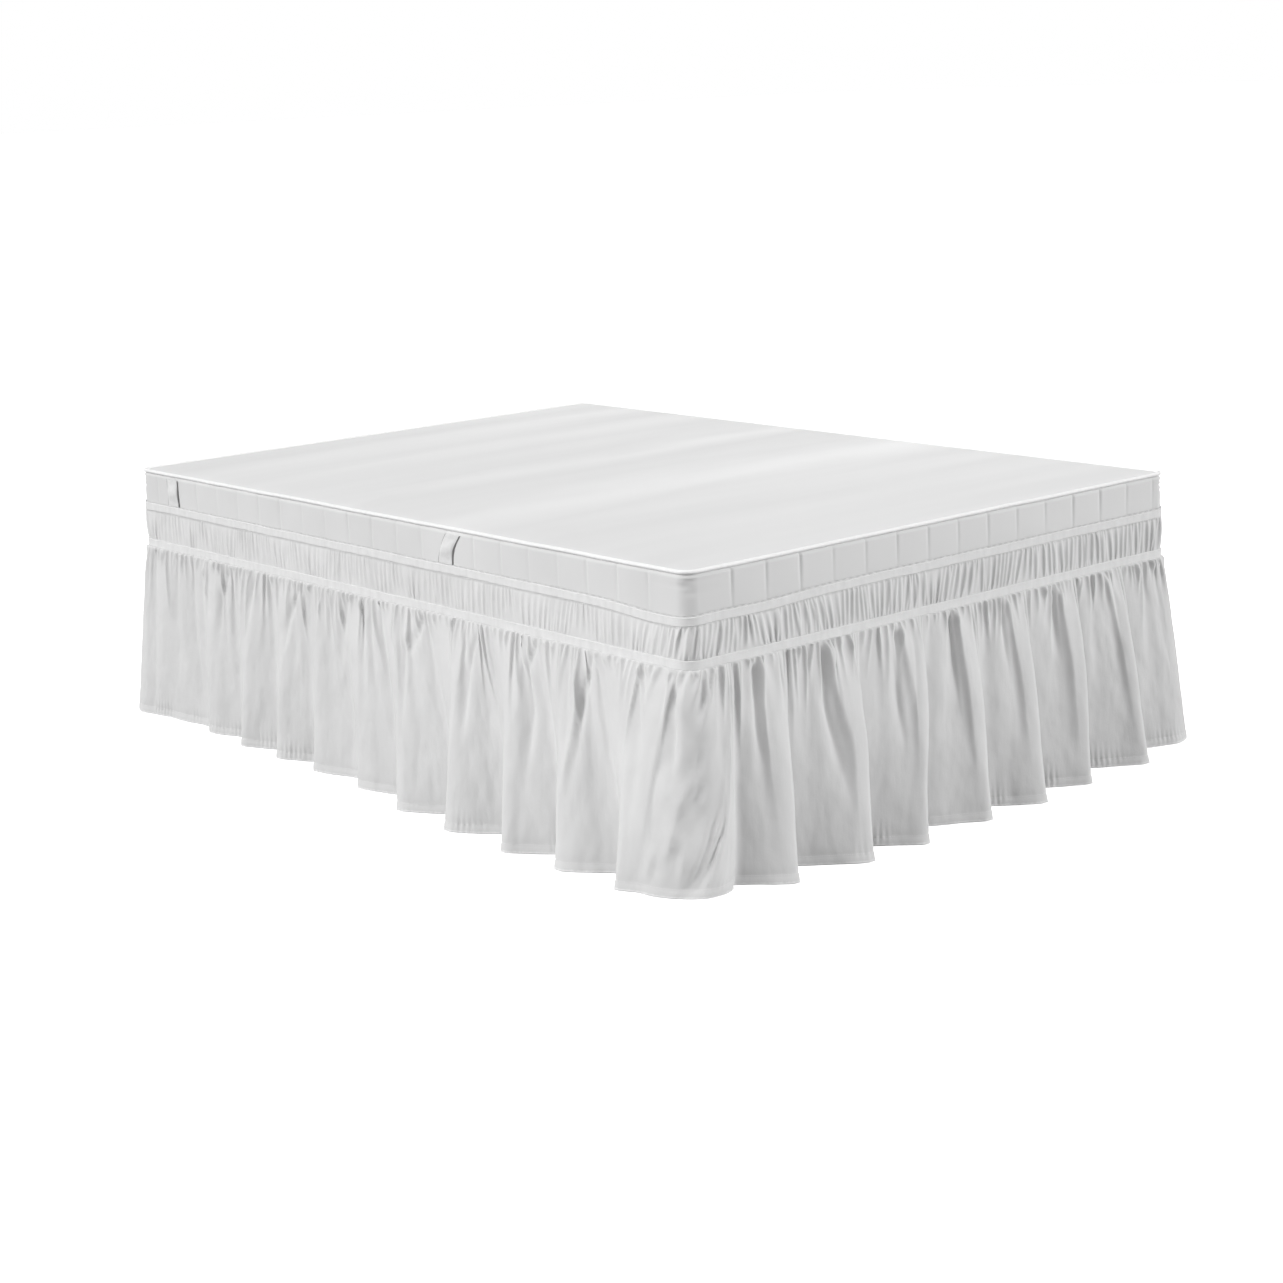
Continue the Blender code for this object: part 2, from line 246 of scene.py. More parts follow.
# Light: for each lamp the direction it shines from, its spread in degrees and its strength
LAMPS = {
    "key_from_the_left": ((-0.83, 0.30, 0.47), 35.0, 2.38),
    "fill_from_the_right": ((0.55, -0.76, 0.34), 40.0, 2.04),
    "overhead": ((0.05, 0.25, 1.0), 100.0, 0.42),
}
SURROUNDINGS_GLOW = 0.32
FLOOR_SEEN = 0.98
FLOOR_GLOW = 0.30
FLOOR_LIFT = 0.60

# Seeds of each piece's unevenness
SEEDS = {
    "mattress": 11,
    "piping": 5,
    "upper_elastic": 17,
    "lower_elastic": 19,
    "heading": 23,
    "hem": 3,
    "ruffle": 41,
    "crinkles": 77,
    "stitches": 7,
}

# Threads
STITCH_PITCH = 0.0036
STITCH_LENGTH = 0.0027
STITCH_THICKNESS = 0.0006
STITCH_UNEVENNESS = 0.12
STITCH_LIFT = 0.0002

# One row for each big fold of the ruffle, in half of its way round: its crest's station and out
# at the hem, the out of the valley after it, how far its top leans on round the bed, and where
# the valley lies between the crests at the hem and at the top. The crests are those of the
# part's source. The leans, the shares and two of the valleys differ from it.
Fold = namedtuple("Fold", "crest crest_out valley_out lean share top_share")
FOLDS = (
    Fold(0.115, 0.034, 0.018, 0.010, 0.70, 0.50),
    Fold(0.290, 0.044, 0.014, 0.010, 0.70, 0.50),
    Fold(0.450, 0.058, 0.016, 0.020, 0.70, 0.50),
    Fold(0.605, 0.060, 0.018, 0.015, 0.70, 0.50),
    Fold(0.760, 0.060, 0.028, -0.005, 0.70, 0.50),
    Fold(0.950, 0.070, 0.036, -0.040, 0.70, 0.50),
    Fold(1.150, 0.108, 0.036, -0.100, 0.74, 0.45),
    Fold(1.340, 0.124, 0.040, -0.060, 0.74, 0.38),
    Fold(1.540, 0.132, 0.048, -0.095, 0.74, 0.47),
    Fold(1.705, 0.128, 0.050, -0.083, 0.74, 0.40),
    Fold(1.883, 0.126, 0.110, -0.050, 0.50, 0.50),
    Fold(1.966, 0.100, 0.056, 0.078, 0.24, 0.14),
    Fold(2.093, 0.134, 0.048, 0.082, 0.24, 0.14),
    Fold(2.282, 0.148, 0.056, 0.090, 0.24, 0.14),
    Fold(2.432, 0.150, 0.050, 0.125, 0.24, 0.14),
    Fold(2.632, 0.137, 0.060, 0.085, 0.24, 0.14),
    Fold(2.797, 0.139, 0.050, 0.075, 0.24, 0.14),
    Fold(2.962, 0.120, 0.022, 0.070, 0.24, 0.14),
    Fold(3.163, 0.112, 0.024, 0.020, 0.24, 0.14),
    Fold(3.345, 0.062, 0.046, 0.000, 0.40, 0.40),
)

# Creases of the ruffle: height of a ridge or, below zero, of a trough, how far it reaches to
# its left and right at the top, and its path down the cloth as station and drop.
Crease = namedtuple("Crease", "height left right path")
CREASES = (
    Crease(-0.006, 0.010, 0.005, ((1.041, 0.004), (1.050, 0.110))),
    Crease(-0.009, 0.022, 0.005, ((1.142, 0.004), (1.131, 0.058), (1.100, 0.090), (1.130, 0.300))),
    Crease(-0.008, 0.016, 0.005, ((1.330, 0.004), (1.325, 0.101), (1.344, 0.260))),
    Crease(-0.005, 0.006, 0.005, ((1.380, 0.050), (1.421, 0.200))),
    Crease(-0.009, 0.016, 0.005, ((1.525, 0.004), (1.512, 0.068), (1.542, 0.143), (1.551, 0.340))),
    Crease(-0.009, 0.014, 0.005, ((1.696, 0.004), (1.692, 0.092), (1.701, 0.260))),
    Crease(0.006, 0.006, 0.006, ((1.680, 0.070), (1.684, 0.350))),
    Crease(-0.007, 0.007, 0.005, ((1.847, 0.004), (1.870, 0.180))),
    Crease(-0.005, 0.004, 0.004, ((1.942, 0.030), (1.960, 0.240))),
    Crease(-0.007, 0.012, 0.006, ((0.369, 0.004), (0.338, 0.085), (0.305, 0.250))),
    Crease(-0.007, 0.012, 0.006, ((0.482, 0.004), (0.466, 0.068), (0.431, 0.230))),
    Crease(-0.008, 0.014, 0.006, ((0.671, 0.004), (0.629, 0.091), (0.596, 0.230))),
    Crease(-0.007, 0.012, 0.006, ((0.860, 0.004), (0.840, 0.080), (0.830, 0.200))),
    Crease(0.009, 0.004, 0.030, ((2.122, 0.004), (2.101, 0.169), (2.080, 0.380))),
    Crease(0.011, 0.004, 0.036, ((2.298, 0.004), (2.291, 0.074), (2.300, 0.200), (2.262, 0.390))),
    Crease(0.010, 0.004, 0.034, ((2.500, 0.004), (2.488, 0.168), (2.440, 0.330))),
    Crease(0.010, 0.004, 0.030, ((2.668, 0.004), (2.655, 0.160), (2.620, 0.380))),
    Crease(0.009, 0.004, 0.030, ((2.822, 0.004), (2.815, 0.160), (2.780, 0.380))),
    Crease(0.009, 0.004, 0.030, ((2.978, 0.004), (2.970, 0.160), (2.945, 0.380))),
    Crease(0.008, 0.004, 0.030, ((3.138, 0.004), (3.150, 0.160), (3.145, 0.380))),
    Crease(-0.008, 0.006, 0.003, ((2.112, 0.004), (2.090, 0.140), (2.090, 0.230))),
    Crease(-0.010, 0.006, 0.003, ((2.288, 0.004), (2.281, 0.063), (2.268, 0.111), (2.272, 0.300))),
    Crease(-0.009, 0.006, 0.003, ((2.490, 0.004), (2.455, 0.146), (2.439, 0.280))),
    Crease(-0.008, 0.006, 0.003, ((2.655, 0.004), (2.635, 0.130), (2.625, 0.220))),
    Crease(-0.007, 0.006, 0.003, ((2.810, 0.004), (2.795, 0.110), (2.790, 0.180))),
    Crease(-0.007, 0.006, 0.003, ((2.966, 0.004), (2.950, 0.110), (2.945, 0.180))),
    Crease(0.007, 0.005, 0.006, ((2.204, 0.004), (2.196, 0.090), (2.180, 0.240))),
    Crease(-0.006, 0.005, 0.005, ((1.971, 0.130), (1.968, 0.330))),
    Crease(0.007, 0.009, 0.009, ((1.962, 0.004), (1.958, 0.080), (1.961, 0.240))),
    Crease(0.007, 0.007, 0.006, ((1.961, 0.220), (1.955, 0.288), (1.949, 0.380))),
    Crease(0.006, 0.005, 0.005, ((1.967, 0.290), (1.966, 0.380))),
    Crease(0.006, 0.005, 0.005, ((1.962, 0.310), (1.959, 0.405))),
    Crease(0.004, 0.006, 0.005, ((1.975, 0.280), (1.968, 0.400))),
    Crease(-0.007, 0.004, 0.004, ((1.947, 0.080), (1.953, 0.240))),
    Crease(-0.007, 0.005, 0.005, ((1.983, 0.004), (1.970, 0.120))),
    Crease(0.008, 0.005, 0.005, ((2.010, 0.004), (1.981, 0.064), (1.970, 0.130))),
)

# Soft swells across the mattress's top: Y at its left and right edges, height and half width.
Swell = namedtuple("Swell", "y_left y_right height width")
SWELLS = (
    Swell(-0.78, -0.62, 0.0028, 0.040),
    Swell(-0.52, -0.25, 0.0056, 0.050),
    Swell(-0.26, 0.08, 0.0046, 0.055),
    Swell(0.06, 0.34, 0.0058, 0.050),
    Swell(0.38, 0.58, 0.0038, 0.060),
    Swell(0.70, 0.80, 0.0028, 0.050),
)

# Bands of painted highlight across the mattress's cloth, for the light on its soft ripples: Y at the
# middle, half width and strength.
Band = namedtuple("Band", "middle width strength")
PAINTED_HIGHLIGHT_BANDS = (
    Band(-0.84, 0.07, 0.20),
    Band(-0.53, 0.09, 0.22),
    Band(-0.25, 0.18, 1.00),
    Band(0.13, 0.10, 0.72),
    Band(0.52, 0.08, 0.22),
    Band(0.78, 0.10, 0.42),
)


# ---------------------------------------------------------------- places and curves


def around(station, out, height):
    """The points at these stations, outs and heights, with X, Y and Z on the last axis."""
    station, out, height = np.broadcast_arrays(station, out, height)
    turns, along = np.divmod(station, HALF_ROUND)
    corner_x = BED_WIDTH / 2 - CORNER_RADIUS
    corner_y = BED_LENGTH / 2 - CORNER_RADIUS
    foot_start = LONG_RUN + CORNER_RUN
    foot_end = foot_start + SHORT_RUN
    first_angle = math.pi + (along - LONG_RUN) / CORNER_RADIUS
    second_angle = 1.5 * math.pi + (along - foot_end) / CORNER_RADIUS
    reach = CORNER_RADIUS + out
    stretches = [along < LONG_RUN, along < foot_start, along < foot_end]
    x = np.select(
        stretches,
        [-BED_WIDTH / 2 - out, -corner_x + reach * np.cos(first_angle), along - foot_start - corner_x],
        corner_x + reach * np.cos(second_angle),
    )
    y = np.select(
        stretches,
        [corner_y - along, -corner_y + reach * np.sin(first_angle), -BED_LENGTH / 2 - out],
        -corner_y + reach * np.sin(second_angle),
    )
    side = np.where(turns % 2 == 0, 1.0, -1.0)
    return np.stack([side * x, side * y, height + 0 * x], axis=-1)


def smooth(share):
    """A soft step from 0 to 1."""
    share = np.clip(share, 0.0, 1.0)
    return share * share * (3 - 2 * share)


def bump(away, width):
    """A soft bump: 1 at its middle, and nearly 0 from twice its half width away."""
    return np.exp(-((away / width) ** 2))


def sag(station):
    """How far the upper tape has slipped down near the foot's first corner."""
    along = np.mod(station, HALF_ROUND)
    low = 0.0
    for middle, width, depth in SAGS:
        low = low + depth * bump(along - middle, width)
    return low


def unevenness(piece):
    """The random numbers that make one piece uneven, the same each time."""
    return np.random.default_rng(SEEDS[piece])


def uneven_edges(rng, count, length, spread):
    """Edges between this many uneven gathers that fill a length."""
    widths = 1 + spread * rng.uniform(-1, 1, count)
    edges = np.concatenate([[0.0], np.cumsum(widths)])
    return edges * length / edges[-1]


def crumple(rng, u, v, cells_u, cells_v):
    """Soft uneven noise from -1 to 1. u and v run from 0 to 1, and u closes on itself."""
    heights = rng.uniform(-1, 1, (cells_v + 2, cells_u))
    place_u = np.mod(u, 1.0) * cells_u
    place_v = np.clip(v, 0.0, 1.0) * cells_v
    column = place_u.astype(int) % cells_u
    row = np.minimum(place_v.astype(int), cells_v)
    share_u = smooth(place_u - place_u.astype(int))
    share_v = smooth(place_v - row)
    after = (column + 1) % cells_u
    upper = heights[row, column] * (1 - share_u) + heights[row, after] * share_u
    lower = heights[row + 1, column] * (1 - share_u) + heights[row + 1, after] * share_u
    return upper * (1 - share_v) + lower * share_v


# ---------------------------------------------------------------- meshes


def grid_object(name, points, flat_u, flat_v, material, closed_rows=False, capped=False):
    """A piece through a grid of points: rows from the top down, columns to the right from outside.

    The columns run all the way round. closed_rows joins the last row to the first, and capped
    closes the first and last row. flat_u and flat_v place each point on the flat cloth.
    """
    rows, columns = points.shape[:2]
    number = np.arange(rows * columns).reshape(rows, columns)
    upper = number if closed_rows else number[:-1]
    lower = np.roll(number, -1, axis=0) if closed_rows else number[1:]
    quads = np.stack(
        [upper, lower, np.roll(lower, -1, axis=1), np.roll(upper, -1, axis=1)], axis=-1
    ).reshape(-1, 4)
    faces = quads.tolist()
    if capped:
        faces.append(number[0].tolist())
        faces.append(number[-1][::-1].tolist())
    mesh = bpy.data.meshes.new(name)
    mesh.from_pydata(points.reshape(-1, 3).tolist(), [], faces)
    add_flat_map(mesh, flat_u, flat_v, rows, columns, closed_rows, len(quads))
    return finished(name, mesh, material)


def add_flat_map(mesh, flat_u, flat_v, rows, columns, closed_rows, quads):
    """The UV map of the flat cloth, in metres."""
    seam_u = 2 * flat_u[:, -1] - flat_u[:, -2]
    wide_u = np.concatenate([flat_u, seam_u[:, None]], axis=1)
    wide_v = np.concatenate([flat_v, flat_v[:, :1]], axis=1)
    if closed_rows:
        wide_u = np.concatenate([wide_u, wide_u[:1]])
        wide_v = np.concatenate([wide_v, 2 * wide_v[-1:] - wide_v[-2:-1]])
    corners = [
        np.stack([wide_u[:-1, :-1], wide_v[:-1, :-1]], axis=-1),
        np.stack([wide_u[1:, :-1], wide_v[1:, :-1]], axis=-1),
        np.stack([wide_u[1:, 1:], wide_v[1:, 1:]], axis=-1),
        np.stack([wide_u[:-1, 1:], wide_v[:-1, 1:]], axis=-1),
    ]
    flat = np.zeros((len(mesh.loops), 2))
    flat[: 4 * quads] = np.stack(corners, axis=2).reshape(-1, 2)
    layer = mesh.uv_layers.new(name="flat_cloth")
    layer.data.foreach_set("uv", flat.ravel())


def finished(name, mesh, material):
    """The mesh as a smooth object with its material."""
    mesh.name = name
    mesh.update()
    mesh.shade_smooth()
    if not mesh.materials:
        mesh.materials.append(material)
    thing = bpy.data.objects.new(name, mesh)
    bpy.context.scene.collection.objects.link(thing)
    return thing


def baked(thing):
    """The object with its modifiers worked into a plain mesh."""
    graph = bpy.context.evaluated_depsgraph_get()
    mesh = bpy.data.meshes.new_from_object(thing.evaluated_get(graph))
    thing.modifiers.clear()
    old = thing.data
    thing.data = mesh
    bpy.data.meshes.remove(old)
    mesh.name = thing.name
    return thing


# ---------------------------------------------------------------- finishes


def new_finish(name, colour, roughness, sheen=0.0):
    material = bpy.data.materials.new(name)
    material.use_nodes = True
    shader = material.node_tree.nodes["Principled BSDF"]
    shader.inputs["Base Color"].default_value = (*colour, 1.0)
    shader.inputs["Roughness"].default_value = roughness
    shader.inputs["Metallic"].default_value = 0.0
    shader.inputs["Specular IOR Level"].default_value = 0.25
    shader.inputs["Sheen Weight"].default_value = sheen
    shader.inputs["Sheen Roughness"].default_value = 0.5
    return material


def place_node(tree, kind, inputs=None, **settings):
    """A new node of this kind, with its settings and the values or links of its inputs."""
    node = tree.nodes.new(kind)
    for name, value in settings.items():
        setattr(node, name, value)
    for name, value in (inputs or {}).items():
        if isinstance(value, bpy.types.NodeSocket):
            tree.links.new(value, node.inputs[name])
        else:
            node.inputs[name].default_value = value
    return node


def add(material, kind, inputs=None, **settings):
    return place_node(material.node_tree, kind, inputs, **settings)


def add_to_shader(material, output, name):
    """Feeds one of the shader's inputs, and gives back what fed it."""
    material.node_tree.links.new(output, material.node_tree.nodes["Principled BSDF"].inputs[name])
    return output


def flat_place(material, scale=(1.0, 1.0), turn=0.0):
    """The place on the flat cloth, scaled along and across it."""
    flat = add(material, "ShaderNodeUVMap", uv_map="flat_cloth")
    inputs = {"Vector": flat.outputs["UV"], "Scale": (*scale, 1.0), "Rotation": (0.0, 0.0, turn)}
    return add(material, "ShaderNodeMapping", inputs).outputs["Vector"]


def flat_part(material, axis):
    """The distance on the flat cloth along one axis, in metres."""
    place = flat_place(material)
    return add(material, "ShaderNodeSeparateXYZ", {"Vector": place}).outputs[axis]


def object_place(material, scale=(1.0, 1.0, 1.0)):
    """The place in space, scaled along each axis."""
    place = add(material, "ShaderNodeTexCoord").outputs["Object"]
    return add(material, "ShaderNodeMapping", {"Vector": place, "Scale": scale}).outputs["Vector"]


def noise(material, place, detail=3.0, roughness=0.5):
    """Soft noise, with one lump for about each unit of its place."""
    inputs = {"Vector": place, "Scale": 1.0, "Detail": detail, "Roughness": roughness}
    return add(material, "ShaderNodeTexNoise", inputs).outputs["Fac"]


def threads(material, place, pitch, direction):
    """Even yarns of this pitch, side by side. A wave is pi / 10 long at a scale of 1."""
    inputs = {"Vector": place, "Scale": math.pi / 10 / pitch, "Distortion": 0.0}
    return add(material, "ShaderNodeTexWave", inputs, bands_direction=direction).outputs["Fac"]


def sum_of(material, first, first_share, second, second_share):
    """Two heights added, each times its share."""
    scaled = add(material, "ShaderNodeMath", {0: first, 1: first_share}, operation="MULTIPLY")
    inputs = {0: second, 1: second_share, 2: scaled.outputs[0]}
    return add(material, "ShaderNodeMath", inputs, operation="MULTIPLY_ADD").outputs[0]


def in_range(material, value, start, end, at_start, at_end):
    """The value, changed evenly from one range to another and kept inside it."""
    inputs = {"Value": value, "From Min": start, "From Max": end, "To Min": at_start, "To Max": at_end}
    return add(material, "ShaderNodeMapRange", inputs).outputs["Result"]


def raise_surface(material, height, distance, strength, under=None):
    """Raises the surface by a height, over what was raised before."""
    inputs = {"Height": height, "Distance": distance, "Strength": strength}
    if under is not None:
        inputs["Normal"] = under
    return add_to_shader(material, add(material, "ShaderNodeBump", inputs).outputs["Normal"], "Normal")


def tint(material, share, low, high, stops=(0.35, 0.65)):
    """Colours the surface between two greys or colours by a share."""
    ramp = add(material, "ShaderNodeValToRGB", {"Fac": share})
    for stop, position, colour in zip(ramp.color_ramp.elements, stops, (low, high)):
        stop.position = position
        stop.color = (*colour, 1.0)
    add_to_shader(material, ramp.outputs["Color"], "Base Color")


def blend_over(material, share, colour):
    """Mixes another colour over the surface's own by a share."""
    under = material.node_tree.nodes["Principled BSDF"].inputs["Base Color"].links[0].from_socket
    # A mix node's inputs 6 and 7 and its output 2 are the ones for colours.
    inputs = {0: share, 6: under, 7: (*colour, 1.0)}
    mixed = add(material, "ShaderNodeMix", inputs, data_type="RGBA").outputs[2]
    add_to_shader(material, mixed, "Base Color")


def grey(value):
    return (value, value, value)


def brushed_cloth(name, lightness):
    """Thin brushed microfibre: fine plain weave, faint vertical crumples, soft sheen."""
    material = new_finish(name, grey(lightness), 0.88, sheen=0.10)
    mottle = noise(material, flat_place(material, (9.0, 5.0)), 4.0)
    tint(material, mottle, grey(lightness - 0.02), grey(lightness + 0.02))
    # Painted highlight along the hem's edge.
    painted_hem_highlight(material)
    dents = noise(material, flat_place(material, (15.0, 9.0), math.radians(12)), 2.2, 0.45)
    dented = raise_surface(material, dents, distance=0.018, strength=0.50)
    soft = noise(material, flat_place(material, (46.0, 9.0)), 3.0, 0.55)
    fine = noise(material, flat_place(material, (240.0, 160.0)), 2.0)
    crumples = sum_of(material, soft, 0.8, fine, 0.2)
    crumpled = raise_surface(material, crumples, distance=0.0016, strength=0.55, under=dented)
    plain = flat_place(material)
    warp = threads(material, plain, 0.00055, "X")
    weft = threads(material, plain, 0.00060, "Y")
    weave = sum_of(material, warp, 0.5, weft, 0.5)
    raise_surface(material, weave, distance=0.00008, strength=0.5, under=crumpled)
    return material


def painted_hem_highlight(material):
    """A painted highlight along the hem's folded edge."""
    uneven = noise(material, flat_place(material, (130.0, 1.0)), 2.0)
    level = sum_of(material, flat_part(material, "Y"), 1.0, uneven, 0.006)
    blend_over(material, in_range(material, level, 0.0045, 0.0085, 0.9, 0.0), grey(0.93))


def elastic():
    """Ribbed elastic: fine cross threads between lengthwise ribs."""
    material = new_finish("elastic_tape", grey(0.80), 0.62, sheen=0.05)
    place = flat_place(material)
    across = threads(material, place, 0.0011, "X")
    along = threads(material, place, 0.0030, "Y")
    worn = noise(material, flat_place(material, (60.0, 20.0)))
    tint(material, worn, grey(0.77), grey(0.83))
    ribs = sum_of(material, across, 0.4, along, 0.6)
    raise_surface(material, ribs, distance=0.00022, strength=0.6)
    return material


def ticking():
    """Smooth knitted ticking: tiny ribs, a few soft pulls, painted light and shade across the bed."""
    material = new_finish("mattress_ticking", grey(0.745), 0.78, sheen=0.10)
    # Painted light and shade: soft random streaks across the bed, lighter and darker, for the light on
    # the top's ripples.
    broad = noise(material, object_place(material, (0.5, 4.5, 3.0)))
    tint(material, broad, grey(0.715), grey(0.775))
    painted_highlight_bands(material)
    pulls = noise(material, object_place(material, (7.0, 26.0, 20.0)))
    knit = noise(material, object_place(material, (420.0, 420.0, 420.0)), 2.0)
    raise_surface(material, sum_of(material, pulls, 0.9, knit, 0.1), distance=0.0012, strength=0.35)
    return material


def painted_highlight_bands(material):
    """Painted highlights in bands across the bed, for the light on the top's soft ripples, strongest
    at its right side.

    It also paints shade: the ticking is a little darker towards the left side.
    """
    place = add(material, "ShaderNodeSeparateXYZ", {"Vector": object_place(material)})
    # Painted shade: the ticking darker towards the left side.
    painted_shade_to_left = in_range(material, place.outputs["X"], -0.70, 0.40, 0.20, 0.0)
    blend_over(material, painted_shade_to_left, grey(0.60))
    # The ramp runs from Y = -1 to Y = 1, and the noise bends the bands, by 0.04 on average.
    wander = noise(material, object_place(material, (2.2, 4.0, 1.0)), 2.0)
    level = sum_of(material, place.outputs["Y"], 0.5, wander, 0.08)
    along = in_range(material, level, -0.5 + 0.04, 0.5 + 0.04, 0.0, 1.0)
    # Painted highlights: the lighter bands across the bed.
    ramp = add(material, "ShaderNodeValToRGB", {"Fac": along})
    ramp.color_ramp.interpolation = "EASE"
    ramp.color_ramp.elements[1].color = (0.0, 0.0, 0.0, 1.0)
    for band in PAINTED_HIGHLIGHT_BANDS:
        for shift, share in ((-1, 0.0), (0, 1.0), (1, 0.0)):
            stop = ramp.color_ramp.elements.new((band.middle + shift * band.width + 1) / 2)
            stop.color = (*grey(share * band.strength), 1.0)
    across = in_range(material, place.outputs["X"], -0.60, 0.60, 0.14, 0.68)
    inputs = {0: ramp.outputs["Color"], 1: across}
    strength = add(material, "ShaderNodeMath", inputs, operation="MULTIPLY").outputs[0]
    blend_over(material, strength, grey(0.92))


def satin_cord():
    """Satin bias binding round the piping cord."""
    material = new_finish("piping", grey(0.93), 0.38)
    slubs = noise(material, object_place(material, (90.0, 90.0, 220.0)))
    tint(material, slubs, grey(0.90), grey(0.95))
    raise_surface(material, slubs, distance=0.0004, strength=0.4)
    return material


def strap_webbing():
    """Woven webbing: close ribs across the strap, with a faint diagonal twill."""
    material = new_finish("webbing", grey(0.78), 0.6)
    across = threads(material, flat_place(material), 0.0016, "Y")
    twill = threads(material, flat_place(material, turn=math.radians(35)), 0.0024, "X")
    worn = noise(material, flat_place(material, (70.0, 70.0)))
    tint(material, worn, grey(0.75), grey(0.81))
    # Painted shade along the strap's two edges.
    painted_edge_shade(material)
    raise_surface(material, sum_of(material, across, 0.7, twill, 0.3), distance=0.0004, strength=0.6)
    return material


def painted_edge_shade(material):
    """Painted shade along the strap's two folded edges."""
    aside = flat_part(material, "X")
    away = add(material, "ShaderNodeMath", {0: aside}, operation="ABSOLUTE").outputs[0]
    half = STRAP_WIDTH / 2
    share = in_range(material, away, half - 0.0034, half - 0.0018, 0.0, 0.70)
    blend_over(material, share, grey(0.20))


def sewing_thread():
    """Twisted polyester thread."""
    material = new_finish("sewing_thread", grey(0.86), 0.45)
    twist = noise(material, object_place(material, (900.0, 900.0, 900.0)), 2.0)
    tint(material, twist, grey(0.80), grey(0.90))
    raise_surface(material, twist, distance=0.0001, strength=0.5)
    return material


def wood(name, light, dark, scale):
    """Plain sawn wood with its grain along one axis, which scale makes slow."""
    material = new_finish(name, light, 0.5)
    grain = noise(material, object_place(material, scale), 6.0, 0.6)
    tint(material, grain, dark, light, stops=(0.3, 0.7))
    raise_surface(material, grain, distance=0.0006, strength=0.4)
    return material


def pale_floor():
    """A white floor that throws back only some of the light, as a dull floor would."""
    material = new_finish("pale_floor", grey(FLOOR_SEEN), 0.9)
    seen = add(material, "ShaderNodeLightPath").outputs["Is Camera Ray"]
    tint(material, seen, grey(FLOOR_GLOW), grey(FLOOR_SEEN), stops=(0.0, 1.0))
    lift = add(material, "ShaderNodeMath", {0: seen, 1: FLOOR_LIFT}, operation="MULTIPLY")
    shader = material.node_tree.nodes["Principled BSDF"]
    shader.inputs["Emission Color"].default_value = (*grey(1.0), 1.0)
    material.node_tree.links.new(lift.outputs[0], shader.inputs["Emission Strength"])
    return material


# ---------------------------------------------------------------- node trees


def new_tree(name, inputs):
    """A geometry node tree with named inputs: each has a socket kind and a first value."""
    tree = bpy.data.node_groups.new(name, "GeometryNodeTree")
    tree.interface.new_socket("Geometry", in_out="INPUT", socket_type="NodeSocketGeometry")
    for label, (kind, value) in inputs.items():
        socket = tree.interface.new_socket(label, in_out="INPUT", socket_type=kind)
        if value is not None:
            socket.default_value = value
    tree.interface.new_socket("Geometry", in_out="OUTPUT", socket_type="NodeSocketGeometry")
    return tree


def stitch_tree():
    """Lines of points become rows of thread stitches that lie along them."""
    tree = new_tree(
        "stitch_row",
        {
            "Pitch": ("NodeSocketFloat", STITCH_PITCH),
            "Length": ("NodeSocketFloat", STITCH_LENGTH),
            "Thickness": ("NodeSocketFloat", STITCH_THICKNESS),
            "Unevenness": ("NodeSocketFloat", STITCH_UNEVENNESS),
            "Seed": ("NodeSocketInt", SEEDS["stitches"]),
            "Thread": ("NodeSocketMaterial", None),
        },
    )
    given = place_node(tree, "NodeGroupInput").outputs
    line = place_node(tree, "GeometryNodeMeshToCurve", {"Mesh": given["Geometry"]})
    inputs = {"Curve": line.outputs["Curve"], "Length": given["Pitch"]}
    even = place_node(tree, "GeometryNodeResampleCurve", inputs, mode="LENGTH")
    tangent = place_node(tree, "GeometryNodeInputTangent").outputs["Tangent"]
    turn = place_node(tree, "FunctionNodeAlignRotationToVector", {"Vector": tangent}, axis="X")
    grain = place_node(tree, "GeometryNodeMeshIcoSphere", {"Radius": 0.5, "Subdivisions": 1})
    size = place_node(
        tree,
        "ShaderNodeCombineXYZ",
        {"X": given["Length"], "Y": given["Thickness"], "Z": given["Thickness"]},
    )
    inputs = {"Geometry": grain.outputs["Mesh"], "Scale": size.outputs["Vector"]}
    stitch = place_node(tree, "GeometryNodeTransform", inputs)
    least = place_node(tree, "ShaderNodeMath", {0: 1.0, 1: given["Unevenness"]}, operation="SUBTRACT")
    most = place_node(tree, "ShaderNodeMath", {0: 1.0, 1: given["Unevenness"]}, operation="ADD")
    uneven = place_node(tree, "FunctionNodeRandomValue", {"Seed": given["Seed"]}, data_type="FLOAT")
    tree.links.new(least.outputs[0], uneven.inputs[2])
    tree.links.new(most.outputs[0], uneven.inputs[3])
    inputs = {
        "Points": even.outputs["Curve"],
        "Instance": stitch.outputs["Geometry"],
        "Rotation": turn.outputs["Rotation"],
        "Scale": uneven.outputs[1],
    }
    row = place_node(tree, "GeometryNodeInstanceOnPoints", inputs)
    real = place_node(tree, "GeometryNodeRealizeInstances", {"Geometry": row.outputs["Instances"]})
    soft = place_node(tree, "GeometryNodeSetShadeSmooth", {"Geometry": real.outputs["Geometry"]})
    inputs = {"Geometry": soft.outputs["Geometry"], "Material": given["Thread"]}
    sewn = place_node(tree, "GeometryNodeSetMaterial", inputs)
    place_node(tree, "NodeGroupOutput", {"Geometry": sewn.outputs["Geometry"]})
    return tree


